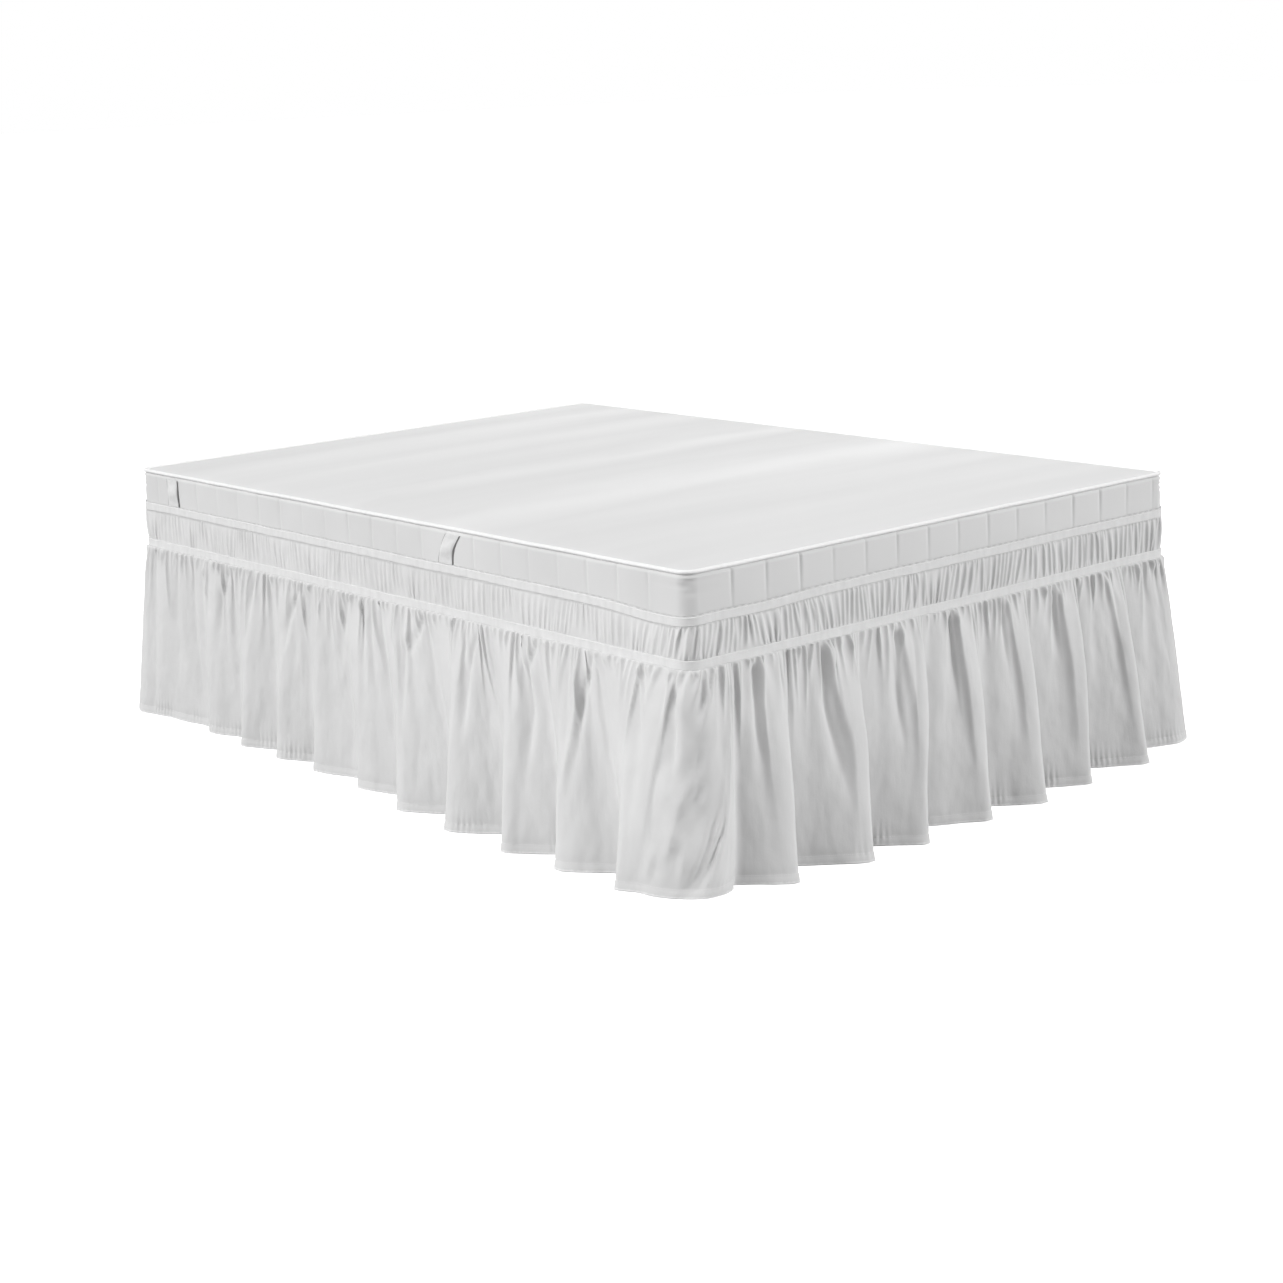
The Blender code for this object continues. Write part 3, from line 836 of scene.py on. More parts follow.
def cord_tree():
    """A line of points becomes a round cord along it."""
    tree = new_tree(
        "cord",
        {
            "Radius": ("NodeSocketFloat", PIPING_RADIUS),
            "Sides": ("NodeSocketInt", PIPING_SIDES),
            "Cover": ("NodeSocketMaterial", None),
        },
    )
    given = place_node(tree, "NodeGroupInput").outputs
    line = place_node(tree, "GeometryNodeMeshToCurve", {"Mesh": given["Geometry"]})
    inputs = {"Resolution": given["Sides"], "Radius": given["Radius"]}
    section = place_node(tree, "GeometryNodeCurvePrimitiveCircle", inputs)
    inputs = {"Curve": line.outputs["Curve"], "Profile Curve": section.outputs["Curve"]}
    tube = place_node(tree, "GeometryNodeCurveToMesh", inputs)
    soft = place_node(tree, "GeometryNodeSetShadeSmooth", {"Geometry": tube.outputs["Mesh"]})
    real = place_node(tree, "GeometryNodeRealizeInstances", {"Geometry": soft.outputs["Geometry"]})
    inputs = {"Geometry": real.outputs["Geometry"], "Material": given["Cover"]}
    covered = place_node(tree, "GeometryNodeSetMaterial", inputs)
    place_node(tree, "NodeGroupOutput", {"Geometry": covered.outputs["Geometry"]})
    return tree


def grown(name, lines, closed, tree, values):
    """The tree's result on these lines of points, as a plain mesh."""
    points = []
    edges = []
    for line in lines:
        first = len(points)
        points += [tuple(point) for point in line]
        edges += [(first + i, first + i + 1) for i in range(len(line) - 1)]
        if closed:
            edges.append((len(points) - 1, first))
    mesh = bpy.data.meshes.new(name)
    mesh.from_pydata(points, edges, [])
    thing = bpy.data.objects.new(name, mesh)
    bpy.context.scene.collection.objects.link(thing)
    modifier = thing.modifiers.new("Growth", "NODES")
    modifier.node_group = tree
    for socket in tree.interface.items_tree:
        if socket.in_out == "INPUT" and socket.name in values:
            modifier[socket.identifier] = values[socket.name]
    return baked(thing)


# ---------------------------------------------------------------- mattress, piping and handles


def side_columns():
    """Stations round the mattress, close together at the seams, and how far each is from its seam."""
    beside_seam = np.array([0.0, 0.0015, 0.003, 0.0055, 0.010, 0.022])
    offsets = np.concatenate([-beside_seam[:0:-1], beside_seam])
    stations = []
    distances = []
    start = 0.0
    for run in RUNS + RUNS:
        seams = start + run.first_seam + run.seam_pitch * np.arange(run.seams)
        if run.seams:
            stations += [start, *(seams[:, None] + offsets).ravel()]
            distances += [NO_SEAM, *np.tile(offsets, run.seams)]
            stations += list(seams[:-1] + run.seam_pitch / 2)
            distances += [run.seam_pitch / 2] * (run.seams - 1)
        else:
            stations += list(start + run.length * np.arange(CORNER_COLUMNS) / CORNER_COLUMNS)
            distances += [NO_SEAM] * CORNER_COLUMNS
        start += run.length
    order = np.argsort(stations)
    return np.array(stations)[order], np.array(distances)[order]


def mattress_side(rng, station, from_seam):
    """Rows of points down the side: tucked seams, which fade downwards, and puckered corners."""
    heights = np.array(SIDE_ROWS)
    seam_strength = SEAM_LEAST + SEAM_MORE * bump(SIDE_TOP - heights, SEAM_FADE)
    seam_share = SEAM_SHARE + SEAM_VARIES * crumple(rng, station / WHOLE_ROUND, 0 * station, 60, 1)
    groove = -SEAM_DEPTH * bump(from_seam, SEAM_WIDTH)
    tuck = TUCK_HEIGHT * bump(from_seam - TUCK_ASIDE, TUCK_WIDTH)
    bulge = -PANEL_BULGE * bump(from_seam, PANEL_EDGE)
    side_out = ((groove + tuck) * seam_share)[None, :] * seam_strength[:, None] + bulge[None, :]
    drop_share = ((SIDE_TOP - heights) / (SIDE_TOP - heights[-1]))[:, None]
    side_out += TICKING_RIPPLE * crumple(rng, station[None, :] / WHOLE_ROUND, drop_share, 150, 5)
    side_out += corner_puckers(station[None, :], heights[:, None])
    return around(station[None, :], np.minimum(side_out, SIDE_REACH), heights[:, None])


def make_mattress(material):
    """The mattress: tucked side seams, puckered corners, and a crowned top with soft swells."""
    rng = unevenness("mattress")
    station, from_seam = side_columns()
    side = mattress_side(rng, station, from_seam)
    top = mattress_top(rng, station)
    bottom = around(station[None, :], np.full((1, len(station)), -CHAMFER), MATTRESS_BOTTOM)
    points = np.concatenate([top, side, bottom])
    flat_u = np.tile(station, (len(points), 1))
    flat_v = np.tile(np.arange(len(points))[:, None] * TICKING_ROW, (1, len(station)))
    mattress = grid_object("padded_mattress", points, flat_u, flat_v, material, capped=True)
    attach(mattress, "root")
    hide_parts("mattress")


def corner_puckers(station, height):
    """Short level creases under the piping at the four corners."""
    depth = 0.0
    for corner in CORNER_MIDDLES:
        for turn in (0, HALF_ROUND):
            for level, strength, shift in PUCKERS:
                along = bump(station - corner - turn - shift, PUCKER_LENGTH)
                depth = depth - strength * along * bump(height - level, PUCKER_WIDTH)
    return depth


def mattress_top(rng, station):
    """Rows of points from the middle of the top out to its edge."""
    insets = np.array(TOP_ROWS)
    edge = around(station, -CHAMFER, EDGE_TOP)
    half = np.array([BED_WIDTH / 2 - CHAMFER, BED_LENGTH / 2 - CHAMFER])
    shrink = 1 - insets[:, None] / half[0]
    x = edge[None, :, 0] * shrink
    y = edge[None, :, 1] * shrink
    inset = np.broadcast_to(insets[:, None], x.shape)
    height = EDGE_TOP + EDGE_PUFF * (1 - np.exp(-inset / EDGE_PUFF_WIDTH))
    height = height + (CROWN_TOP - EDGE_TOP - EDGE_PUFF) * smooth(inset / CROWN_WIDTH)
    fade = smooth(inset / 0.06)
    across = (x + half[0]) / (2 * half[0])
    for swell in SWELLS:
        middle = swell.y_left + (swell.y_right - swell.y_left) * across + 0.02 * np.sin(5 * across)
        height = height + swell.height * fade * bump(y - middle, swell.width)
    wobble = crumple(rng, across * 0.5, (y + half[1]) / (2 * half[1]), 9, 26)
    height = height + TOP_WOBBLE * fade * wobble - TOP_LOWERED
    return np.stack([x, y, np.broadcast_to(height, x.shape)], axis=-1)


def make_piping(material):
    """The piping cord in the chamfer of the mattress's top edge, with the sewn edge's slight waver."""
    rng = unevenness("piping")
    station = WHOLE_ROUND * np.arange(PIPING_COLUMNS) / PIPING_COLUMNS
    seat = (PIPING_RADIUS + GAP) * math.sqrt(0.5)
    waver = crumple(rng, station / WHOLE_ROUND, 0 * station, 120, 1)
    rise = crumple(rng, station / WHOLE_ROUND, 0 * station, 90, 1)
    out = -CHAMFER / 2 + seat + PIPING_WAVER * waver
    height = (SIDE_TOP + EDGE_TOP) / 2 + seat + PIPING_RISE * rise
    values = {"Radius": PIPING_RADIUS, "Sides": PIPING_SIDES, "Cover": material}
    piping = grown("top_piping", [around(station, out, height)], True, cord_tree(), values)
    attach(piping, "root")
    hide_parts("mattress_piping")


def pulled_aside(side, skew, share):
    """How far a strap's middle lies off its upright at this share of its way down."""
    return -side * skew * (1 - (1 - share) ** 2)


def make_handle(name, side, y_middle, skew, material):
    """A webbing strap that bows out, sewn flat at both ends, with its lower end pulled aside.

    Gives the lines of its stitches.
    """
    share = np.linspace(0.0, 1.0, STRAP_ROWS)
    bowed_share = 1 - 2 * STRAP_SEWN_SHARE
    along_bow = np.clip((share - STRAP_SEWN_SHARE) / bowed_share, 0.0, 1.0)
    bow = STRAP_BOW * np.sin(math.pi * along_bow) ** 2
    height = STRAP_TOP + (STRAP_BOTTOM - STRAP_TOP) * share
    profile = np.linspace(-1.0, 1.0, STRAP_COLUMNS)
    narrowing = 1 - STRAP_NARROWING * np.sin(math.pi * along_bow)
    edge_dip = STRAP_EDGE_DIP * np.abs(profile) ** 6
    rib = STRAP_RIB_HEIGHT * np.sin(2 * math.pi * profile * STRAP_RIBS)
    front = []
    back = []
    for i in range(STRAP_ROWS):
        aside = pulled_aside(side, skew, share[i])
        y = y_middle + aside + side * profile * STRAP_WIDTH / 2 * narrowing[i]
        inner = BED_WIDTH / 2 + GAP + 0 * profile
        outer = inner + STRAP_THICKNESS - edge_dip + rib + bow[i] * (1 - np.abs(profile) ** 3)
        front.append(np.stack([side * outer, y, height[i] + 0 * y], axis=-1))
        back.append(np.stack([side * inner, y, height[i] + 0 * y], axis=-1))
    points = np.concatenate([np.array(front), np.array(back)[:, ::-1]], axis=1)
    down = np.cumsum(np.hypot(np.gradient(height), np.gradient(bow)))
    flat_v = np.tile(down[:, None], (1, 2 * STRAP_COLUMNS))
    flat_u = np.tile(np.concatenate([profile, 2.1 + profile]) * STRAP_WIDTH / 2, (STRAP_ROWS, 1))
    strap = grid_object("strap_" + name, points, flat_u, flat_v, material, capped=True)
    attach(strap, "root")
    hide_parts(name)
    return strap_stitches(side, y_middle, skew)


def strap_stitches(side, y_middle, skew):
    """Lines of the box stitches at both ends of a strap."""
    sewn = (STRAP_TOP - STRAP_BOTTOM) * STRAP_SEWN_SHARE
    x = side * (BED_WIDTH / 2 + GAP + STRAP_THICKNESS + STITCH_LIFT)
    lines = []
    for top in (STRAP_TOP, STRAP_BOTTOM + sewn):
        for height in (top - 0.0018, top - sewn + 0.0014):
            share = (STRAP_TOP - height) / (STRAP_TOP - STRAP_BOTTOM)
            middle = y_middle + pulled_aside(side, skew, share)
            ends = (middle - STRAP_WIDTH * 0.42, middle + STRAP_WIDTH * 0.42)
            lines.append([(x, y, height) for y in np.linspace(ends[0], ends[1], 12)])
    return lines


# ---------------------------------------------------------------- tapes and heading


def make_tape(name, replaced, middle, material, slipped=0.0):
    """A ribbed elastic tape all the way round, a little uneven where the gathers push it.

    Gives the lines of its stitches.
    """
    rng = unevenness(name)
    station = WHOLE_ROUND * np.arange(TAPE_COLUMNS) / TAPE_COLUMNS
    ribs = 2 * TAPE_RIBS + 1
    across = np.linspace(1.0, -1.0, ribs)
    front = TAPE_OUTER_OUT + TAPE_RIB_HEIGHT * np.where(np.arange(ribs) % 2 == 1, 1.0, -1.0)
    front[[0, -1]] = TAPE_OUTER_OUT - TAPE_EDGE_DIP
    outs = np.concatenate([front, [TAPE_INNER_OUT, TAPE_INNER_OUT]])
    places = np.concatenate([across, [-0.98, 0.98]])
    push = crumple(rng, station / WHOLE_ROUND, 0 * station, 230, 1)
    sway = crumple(rng, station / WHOLE_ROUND, 0 * station, 60, 1)
    out = outs[:, None] + TAPE_WAVE * (0.5 + 0.5 * push)[None, :]
    middle = middle - slipped * sag(station)
    height = middle + places[:, None] * TAPE_WIDTH / 2 + TAPE_SWAY * sway[None, :]
    height = height + 0.0003 * np.sign(places)[:, None] * push[None, :]
    points = around(station[None, :], out, height)
    flat_u = np.tile(station, (len(outs), 1))
    flat_v = np.tile(places[:, None] * TAPE_WIDTH / 2, (1, TAPE_COLUMNS))
    tape = grid_object(name, points, flat_u, flat_v, material, closed_rows=True)
    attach(tape, "root")
    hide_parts(replaced)
    top = TAPE_OUTER_OUT + TAPE_WAVE * (0.5 + 0.5 * push) + STITCH_LIFT
    lines = []
    for share in TAPE_STITCHES:
        level = middle + share * TAPE_WIDTH / 2 + TAPE_SWAY * sway
        lines.append(around(station, top, level))
    return lines


def make_heading(material):
    """The ruched strip between the tapes, with its edge standing up as a tiny frill above them."""
    rng = unevenness("heading")
    high = UPPER_TAPE_MIDDLE - TAPE_WIDTH / 2
    low = LOWER_TAPE_MIDDLE + TAPE_WIDTH / 2
    half = HALF_ROUND * np.arange(HEADING_COLUMNS) / HEADING_COLUMNS
    down = np.linspace(0.0, 1.0, HEADING_ROWS)
    eased = 0.5 - 0.5 * np.cos(math.pi * down)
    drop = (high - low) * (0.8 * eased + 0.2 * down)
    station, depth = heading_gathers(rng, half, drop, high - low)
    slipped = sag(half)[None, :] * (1 - drop / (high - low))[:, None]
    points = around(station, SEWN_OUT + depth, high - drop[:, None] - slipped)
    at_corners = sum(bump(half - corner, 0.035) for corner in CORNER_MIDDLES)
    at_foot = smooth((half - LONG_RUN) / 0.10) * smooth((HALF_ROUND - half) / 0.10)
    more = 1 + MORE_AT_CORNERS * at_corners + MORE_AT_FOOT * at_foot
    width = HEADING_FULLNESS * HALF_ROUND / HEADING_COLUMNS * more
    stiffness = np.full(len(drop), HEADING_STIFFNESS)
    points = settled(points, np.tile(width, (len(drop), 1)), drop, stiffness, 0 * stiffness)
    points[0] = around(station[0], SEWN_OUT + 0.0017, high - 0.0006 - sag(half))
    behind = around(half, SEWN_OUT, low - 0.006)
    points = np.concatenate([frill(half, high), points, [behind]])
    points = np.concatenate([points, turned(points)], axis=1)
    frill_heights = high + np.array([0.022, 0.0195, 0.012, 0.0012])
    heights = np.concatenate([frill_heights, high - drop, [low - 0.006]])
    flat_u = HEADING_FULLNESS * WHOLE_ROUND * np.arange(2 * HEADING_COLUMNS) / (2 * HEADING_COLUMNS)
    flat_u = np.tile(flat_u, (len(heights), 1))
    flat_v = np.tile(heights[:, None], (1, 2 * HEADING_COLUMNS))
    heading = grid_object("ruched_heading", points, flat_u, flat_v, material)
    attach(heading, "root")
    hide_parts("skirt_heading")


def frill(half, high):
    """Rows of the tiny frill above the upper tape, and of the cloth behind the tape."""
    top = UPPER_TAPE_MIDDLE + TAPE_WIDTH / 2 + FRILL_HEIGHT - sag(half)
    wave = np.abs(np.sin(math.pi * half / FRILL_PITCH + 0.8 * np.sin(half * 9))) ** 1.5
    return [
        around(half, SEWN_OUT + FRILL_REACH[0] * wave, top + 0.0022 * (wave - 0.5)),
        around(half, SEWN_OUT + FRILL_REACH[1] * wave, top - 0.0025),
        around(half, SEWN_OUT, high + 0.012 - sag(half)),
        around(half, SEWN_OUT + 0.0002, high + 0.0012 - sag(half)),
    ]


def heading_gathers(rng, station, drop, height):
    """Uneven ridges whose two ends wander apart: where each point lies, and how far it stands out."""
    edges = uneven_edges(rng, HEADING_GATHERS, HALF_ROUND, 0.55)
    which = np.clip(np.searchsorted(edges, station, side="right") - 1, 0, HEADING_GATHERS - 1)
    phase = (station - edges[which]) / (edges[which + 1] - edges[which])
    tighter = smooth((station - LONG_RUN + 0.25) / 0.25) * smooth((HALF_ROUND - station) / 0.04)
    crushed = bump(station - CRUSHED_MIDDLE, CRUSHED_WIDTH)
    tighter = 0.55 + 0.88 * tighter + 0.5 * crushed
    ridge = rng.uniform(*RIDGE_HEIGHT, HEADING_GATHERS)[which] * tighter
    down = (drop / height)[:, None]
    arch = np.abs(np.sin(math.pi * down)) ** 0.15
    around_half = station[None, :] / HALF_ROUND
    slant = 0.013 * crumple(rng, around_half, 0 * down, 60, 1)
    slant = slant + 0.006 * np.sin(7 * math.pi * around_half)
    kink = 0.006 * (1 + crushed) * crumple(rng, around_half, down, 110, 3)
    depth = HEADING_PUFF * arch + ridge * np.sin(math.pi * phase) ** 1.2 * arch
    depth = depth + RIDGE_CRUMPLE * tighter * crumple(rng, around_half, down, 240, 3) * arch
    return station[None, :] + (slant * (down - 0.5) + kink * arch), np.maximum(depth, 0.0002)


# ---------------------------------------------------------------- how cloth settles


def turned(points):
    """The points turned half a turn about Z."""
    return points * np.array([-1.0, -1.0, 1.0])


def rolled(points, steps):
    """The columns moved on round the bed. After a half's last one comes its first, turned."""
    moved_on = np.roll(points, -steps, axis=1)
    past_end = slice(-steps, None) if steps > 0 else slice(None, -steps)
    moved_on[:, past_end] = turned(moved_on[:, past_end])
    return moved_on


def spring(reach, rest, push, pull):
    """How far springs move their ends together, or apart where they are too short."""
    length = np.sqrt(np.einsum("...i,...i", reach, reach)) + 1e-9
    excess = 1 - rest / length
    return reach * (np.where(excess > 0, pull, push) * excess)[..., None]


def bend(points, columns):
    """How sharply the rows bend, over this many columns to each side."""
    return rolled(points, columns) + rolled(points, -columns) - 2 * points


def pushed_out(points):
    """The points, with those inside the mattress or the floor moved to its surface."""
    core = np.array([BED_WIDTH / 2 - CORNER_RADIUS, BED_LENGTH / 2 - CORNER_RADIUS])
    over = np.abs(points[..., :2]) - core
    corner = np.maximum(over, 0.0)
    reach = np.linalg.norm(corner, axis=-1)
    out = reach - CORNER_RADIUS
    direction = np.sign(points[..., :2]) * corner / np.maximum(reach, 1e-6)[..., None]
    points[..., :2] += np.maximum(CLEARANCE - out, 0.0)[..., None] * direction
    points[..., 2] = np.maximum(points[..., 2], FLOOR_CLEARANCE)
    return points


def settled(points, width, drop, stiffness, broad_stiffness):
    """The cloth once its threads have taken back their own lengths, so that it buckles into flutes.

    width is the cloth between two columns at each point. The first and last rows stay where they
    are. The stiffnesses, one for each row, work against folds over one and over two columns.
    """
    start = points
    before = points
    lengths = np.linalg.norm(points[1:] - points[:-1], axis=-1)
    slant = np.sqrt(((width[1:] + width[:-1]) / 2) ** 2 + lengths**2)
    above = (drop[1:-1] - drop[:-2])[:, None, None]
    below = (drop[2:] - drop[1:-1])[:, None, None]
    for _ in range(ROUNDS):
        after = rolled(points, 1)
        across = spring(after - points, width, PUSH, PULL)
        step = across - rolled(across, -1)
        along = spring(points[1:] - points[:-1], lengths, 0.0, PULL)
        step[:-1] += along
        step[1:] -= along
        for strength, columns in ((stiffness, 1), (broad_stiffness, 2)):
            step -= strength[:, None, None] * bend(bend(points, columns), columns)
        one_way = np.zeros_like(points)
        one_way[1:] = spring(after[1:] - points[:-1], slant, SHEAR, SHEAR)
        step[:-1] += one_way[1:]
        step -= rolled(one_way, -1)
        straight = (below * points[:-2] + above * points[2:]) / (above + below)
        step[1:-1] += WEIGHT * (straight - points[1:-1])
        moved_points = points + step + MOMENTUM * (points - before)
        before = points
        points = pushed_out(moved_points)
        points[[0, -1]] = start[[0, -1]]
    return points


# ---------------------------------------------------------------- ruffle


Cloth = namedtuple("Cloth", "flat hem_station hem_out top_station length")


def hem_cloth():
    """Half of the cloth, in columns: where each lies on the flat cloth, at the hem and at the top.

    The columns are spaced halfway between even steps along the hem and even steps along the tape.
    """
    rng = unevenness("hem")
    last_before = FOLDS[-1]._replace(crest=FOLDS[-1].crest - HALF_ROUND)
    first_after = FOLDS[0]._replace(crest=FOLDS[0].crest + HALF_ROUND)
    folds = [last_before, *FOLDS, first_after]
    phase = (np.arange(FOLD_SAMPLES) + 0.5) / FOLD_SAMPLES
    first_half = phase < 0.5
    swing = np.arccos(-(1 - CREST_ROUNDING) * np.cos(2 * math.pi * phase)) / math.pi
    rise = 1 - (swing - swing.min()) / (swing.max() - swing.min())
    rise = np.minimum(rise / (1 - CREST_FLAT), 1.0)
    station, out, start_top, end_top = [], [], [], []
    for before, fold, after in zip(folds, folds[1:], folds[2:]):
        to_valley_before = (1 - before.share) * (before.crest - fold.crest)
        reach = np.where(first_half, to_valley_before, fold.share * (after.crest - fold.crest))
        valley_out = np.where(first_half, before.valley_out, fold.valley_out)
        bow = FOLD_BOW * rng.uniform(-1, 1) * np.sin(2 * math.pi * phase) * np.sin(4 * math.pi * phase)
        overhang = OVERHANG * np.abs(reach) * np.sin(2 * math.pi * phase)
        station.append(fold.crest + reach * np.abs(2 * phase - 1) - overhang)
        out.append(valley_out + (fold.crest_out - valley_out) * (rise + bow))
        tops = [each.crest + each.lean for each in (before, fold, after)]
        valley_before = tops[0] + before.top_share * (tops[1] - tops[0])
        valley_after = tops[1] + fold.top_share * (tops[2] - tops[1])
        start_top.append(np.where(first_half, valley_before, tops[1]))
        end_top.append(np.where(first_half, tops[1], valley_after))
    station, out, start_top, end_top = map(np.concatenate, (station, out, start_top, end_top))
    hem = around(station, out, 0.0)[None, :]
    travelled = np.concatenate([[0.0], np.cumsum(np.linalg.norm(rolled(hem, 1) - hem, axis=-1)[0])])
    length = travelled[-1]
    flanks = travelled[:-1].reshape(-1, FOLD_SAMPLES // 2)
    ends = np.append(flanks[1:, 0], length)
    share = (flanks - flanks[:, :1]) / (ends - flanks[:, 0])[:, None]
    top = start_top + (end_top - start_top) * share.ravel()
    along_top = np.maximum.accumulate(top) - top[0]
    crowd = np.append(0.5 * travelled[:-1] / length + 0.5 * along_top / HALF_ROUND, 1.0)
    flat = np.interp(np.arange(COLUMNS) / COLUMNS, crowd, travelled)
    even = HALF_ROUND / length

    def at_columns(values, slope=0.0):
        level = np.interp(flat, travelled[:-1], values - slope * travelled[:-1], period=length)
        return level + slope * flat

    return Cloth(flat, at_columns(station, even), at_columns(out), at_columns(top, even), length)


def flutes(rng, flat, drop, length):
    """Soft ridges side by side, each with its own height and its own reach down the cloth."""
    edges = uneven_edges(rng, FLUTES, length, 0.5)
    which = np.clip(np.searchsorted(edges, flat, side="right") - 1, 0, FLUTES - 1)
    phase = (flat - edges[which]) / (edges[which + 1] - edges[which])
    heights = rng.uniform(*FLUTE_HEIGHT, FLUTES)[which]
    reaches = rng.uniform(*FLUTE_REACH, FLUTES)[which]
    fade = smooth(drop / FLUTE_START) * bump(drop, reaches)
    return heights * np.sin(math.pi * phase) ** 1.25 * fade


def press_creases(relief, flat, row_station, drop, length):
    """Adds the listed creases."""
    for crease in CREASES:
        stations, drops = zip(*crease.path)
        for row, depth in enumerate(drop[:, 0]):
            if not drops[0] <= depth <= drops[-1]:
                continue
            passed = np.maximum.accumulate(row_station[row])
            centre = np.interp(np.interp(depth, drops, stations), passed, flat)
            away = np.mod(flat - centre + length / 2, length) - length / 2
            along = (depth - drops[0]) / (drops[-1] - drops[0])
            taper = float(smooth((depth - drops[0] + 0.004) / 0.025) * smooth((1 - along) / 0.6))
            grown_by = (1 + 1.5 * along) * min(1.0, 0.2 + depth / 0.11)
            width = 0.002 + np.where(away < 0, crease.left, crease.right) * grown_by
            relief[row] += crease.height * taper * np.exp(-(np.abs(away / width) ** 1.6))


def press_gathers(rng, relief, cloth, drop):
    """Adds the narrow ridges that leave the tape, each with its own height, slant and length."""
    places = uneven_edges(rng, GATHERS, HALF_ROUND, 0.65)[:-1]
    spread_out = np.append(np.maximum.accumulate(cloth.top_station), cloth.top_station[0] + HALF_ROUND)
    flat = np.append(cloth.flat, cloth.length)
    places = np.mod(places - spread_out[0], HALF_ROUND) + spread_out[0]
    centres = np.interp(places, spread_out, flat)
    beside = np.interp(places + 0.004, spread_out, flat) - np.interp(places - 0.004, spread_out, flat)
    for centre, narrow in zip(centres, np.clip(beside / 0.011, 0.4, 1.3)):
        height = rng.uniform(*GATHER_HEIGHT)
        reach = GATHER_REACH[0] + (GATHER_REACH[1] - GATHER_REACH[0]) * rng.uniform() ** 2.2
        width = rng.uniform(*GATHER_WIDTH) * narrow
        slant = rng.uniform(-GATHER_SLANT, GATHER_SLANT)
        bow = rng.uniform(-GATHER_BOW, GATHER_BOW)
        share = np.clip(drop / reach, 0.0, 1.0)
        path = centre + slant * drop + bow * np.sin(math.pi * share)
        away = np.mod(cloth.flat - path + cloth.length / 2, cloth.length) - cloth.length / 2
        fade = smooth((drop + 0.002) / 0.006) * (1 - smooth(share)) ** 0.8
        spread = width * (1 + 0.7 * share)
        relief += height * fade * np.exp(-(np.abs(away / spread) ** 1.4))


def corner_crinkles(along, row_station, drop):
    """Crushed cloth down the foot's first corner."""
    rng = unevenness("crinkles")
    middle = CORNER_MIDDLES[0] - 0.005
    near = bump(row_station - middle, CRINKLE_WIDTH)
    fade = smooth(drop / 0.05) * (1 - smooth((drop - 0.36) / 0.04))
    leaning = along + 0.006 * np.sin(drop * 31)
    return CRINKLE_HEIGHT * near * fade * crumple(rng, leaning, drop / DROP, 300, 9)


def room_for_relief(points):
    """Less relief where the columns run close together, so that the cloth doesn't cross itself."""
    spacing = np.linalg.norm(rolled(points, 1) - points, axis=-1)
    spacing = sum(np.roll(spacing, -step, axis=1) for step in (-4, -2, 0, 2, 4)) / 5
    return smooth((spacing / CLOSE_COLUMNS - 0.30) / 0.55)


def outward(points):
    """Outward directions of half of a piece's points."""
    facing = np.cross(np.gradient(points, axis=0), rolled(points, 1) - rolled(points, -1))
    return facing / np.linalg.norm(facing, axis=-1, keepdims=True)


def ruffle_rows():
    """Drops of the ruffle's rows, close together under the tape and at the hem."""
    upper = [0.0, 0.0015, 0.004, 0.008, 0.013, 0.019, 0.026, 0.034, 0.043, 0.054, 0.066, 0.079, 0.093]
    middle = list(np.linspace(0.107, DROP - HEM_WIDTH - 0.004, 17))
    lower = [DROP - HEM_WIDTH, DROP - HEM_WIDTH + 0.004, DROP - 0.006, DROP - 0.0022, DROP - 0.0008]
    return np.array(upper + middle + lower)[:, None]


def folded(rng, cloth, drop):
    """The cloth's points, straight from the tape to the folds at the hem but for soft flutes.

    Gives the points, and the station that each has without its flute.
    """
    flat = cloth.flat[None, :]
    exponent = SPREAD * (1 + 0.16 * crumple(rng, flat / cloth.length, 0 * flat, 20, 1))
    share = (drop / DROP) ** exponent
    neck = EDGE_OUT + (NECK_OUT - EDGE_OUT) * smooth(drop / 0.015)
    out = neck + (cloth.hem_out[None, :] - NECK_OUT) * share
    station = cloth.top_station[None, :] + (cloth.hem_station - cloth.top_station)[None, :] * share
    points = around(station, out, RUFFLE_TOP - drop)
    relief = flutes(rng, flat, drop, cloth.length) * (1 - smooth((drop - 0.25) / 0.14))
    relief[[0, -1]] = 0.0
    points = points + outward(points) * relief[..., None]
    points[-1, :, 2] = 0.0008
    return points, station


def hung(points, drop):
    """The points once the cloth has settled, softer over the folds near the tape."""
    width = np.linalg.norm(rolled(points, 1) - points, axis=-1)
    width = width * (1 + SLACK * (1 - smooth(drop / 0.40)))
    stiffness = 0.004 + 0.010 * smooth(drop[:, 0] / 0.08)
    broad_stiffness = 0.002 * smooth((drop[:, 0] - 0.05) / 0.06)
    return settled(points, width, drop[:, 0], stiffness, broad_stiffness)


def ruffle_relief(rng, cloth, drop, station, points):
    """How far gathers, creases, crinkles and the turned hem stand out of the settled cloth."""
    flat = cloth.flat[None, :]
    along = flat / cloth.length
    relief = 0.0006 * crumple(rng, along, drop / DROP, 260, 14) * smooth(drop / 0.03)
    press_gathers(rng, relief, cloth, drop)
    press_creases(relief, cloth.flat, station, drop, cloth.length)
    relief += corner_crinkles(along, station, drop)
    relief *= room_for_relief(points)
    relief[0] = 0.0
    return relief + hem_relief(rng, flat, drop)


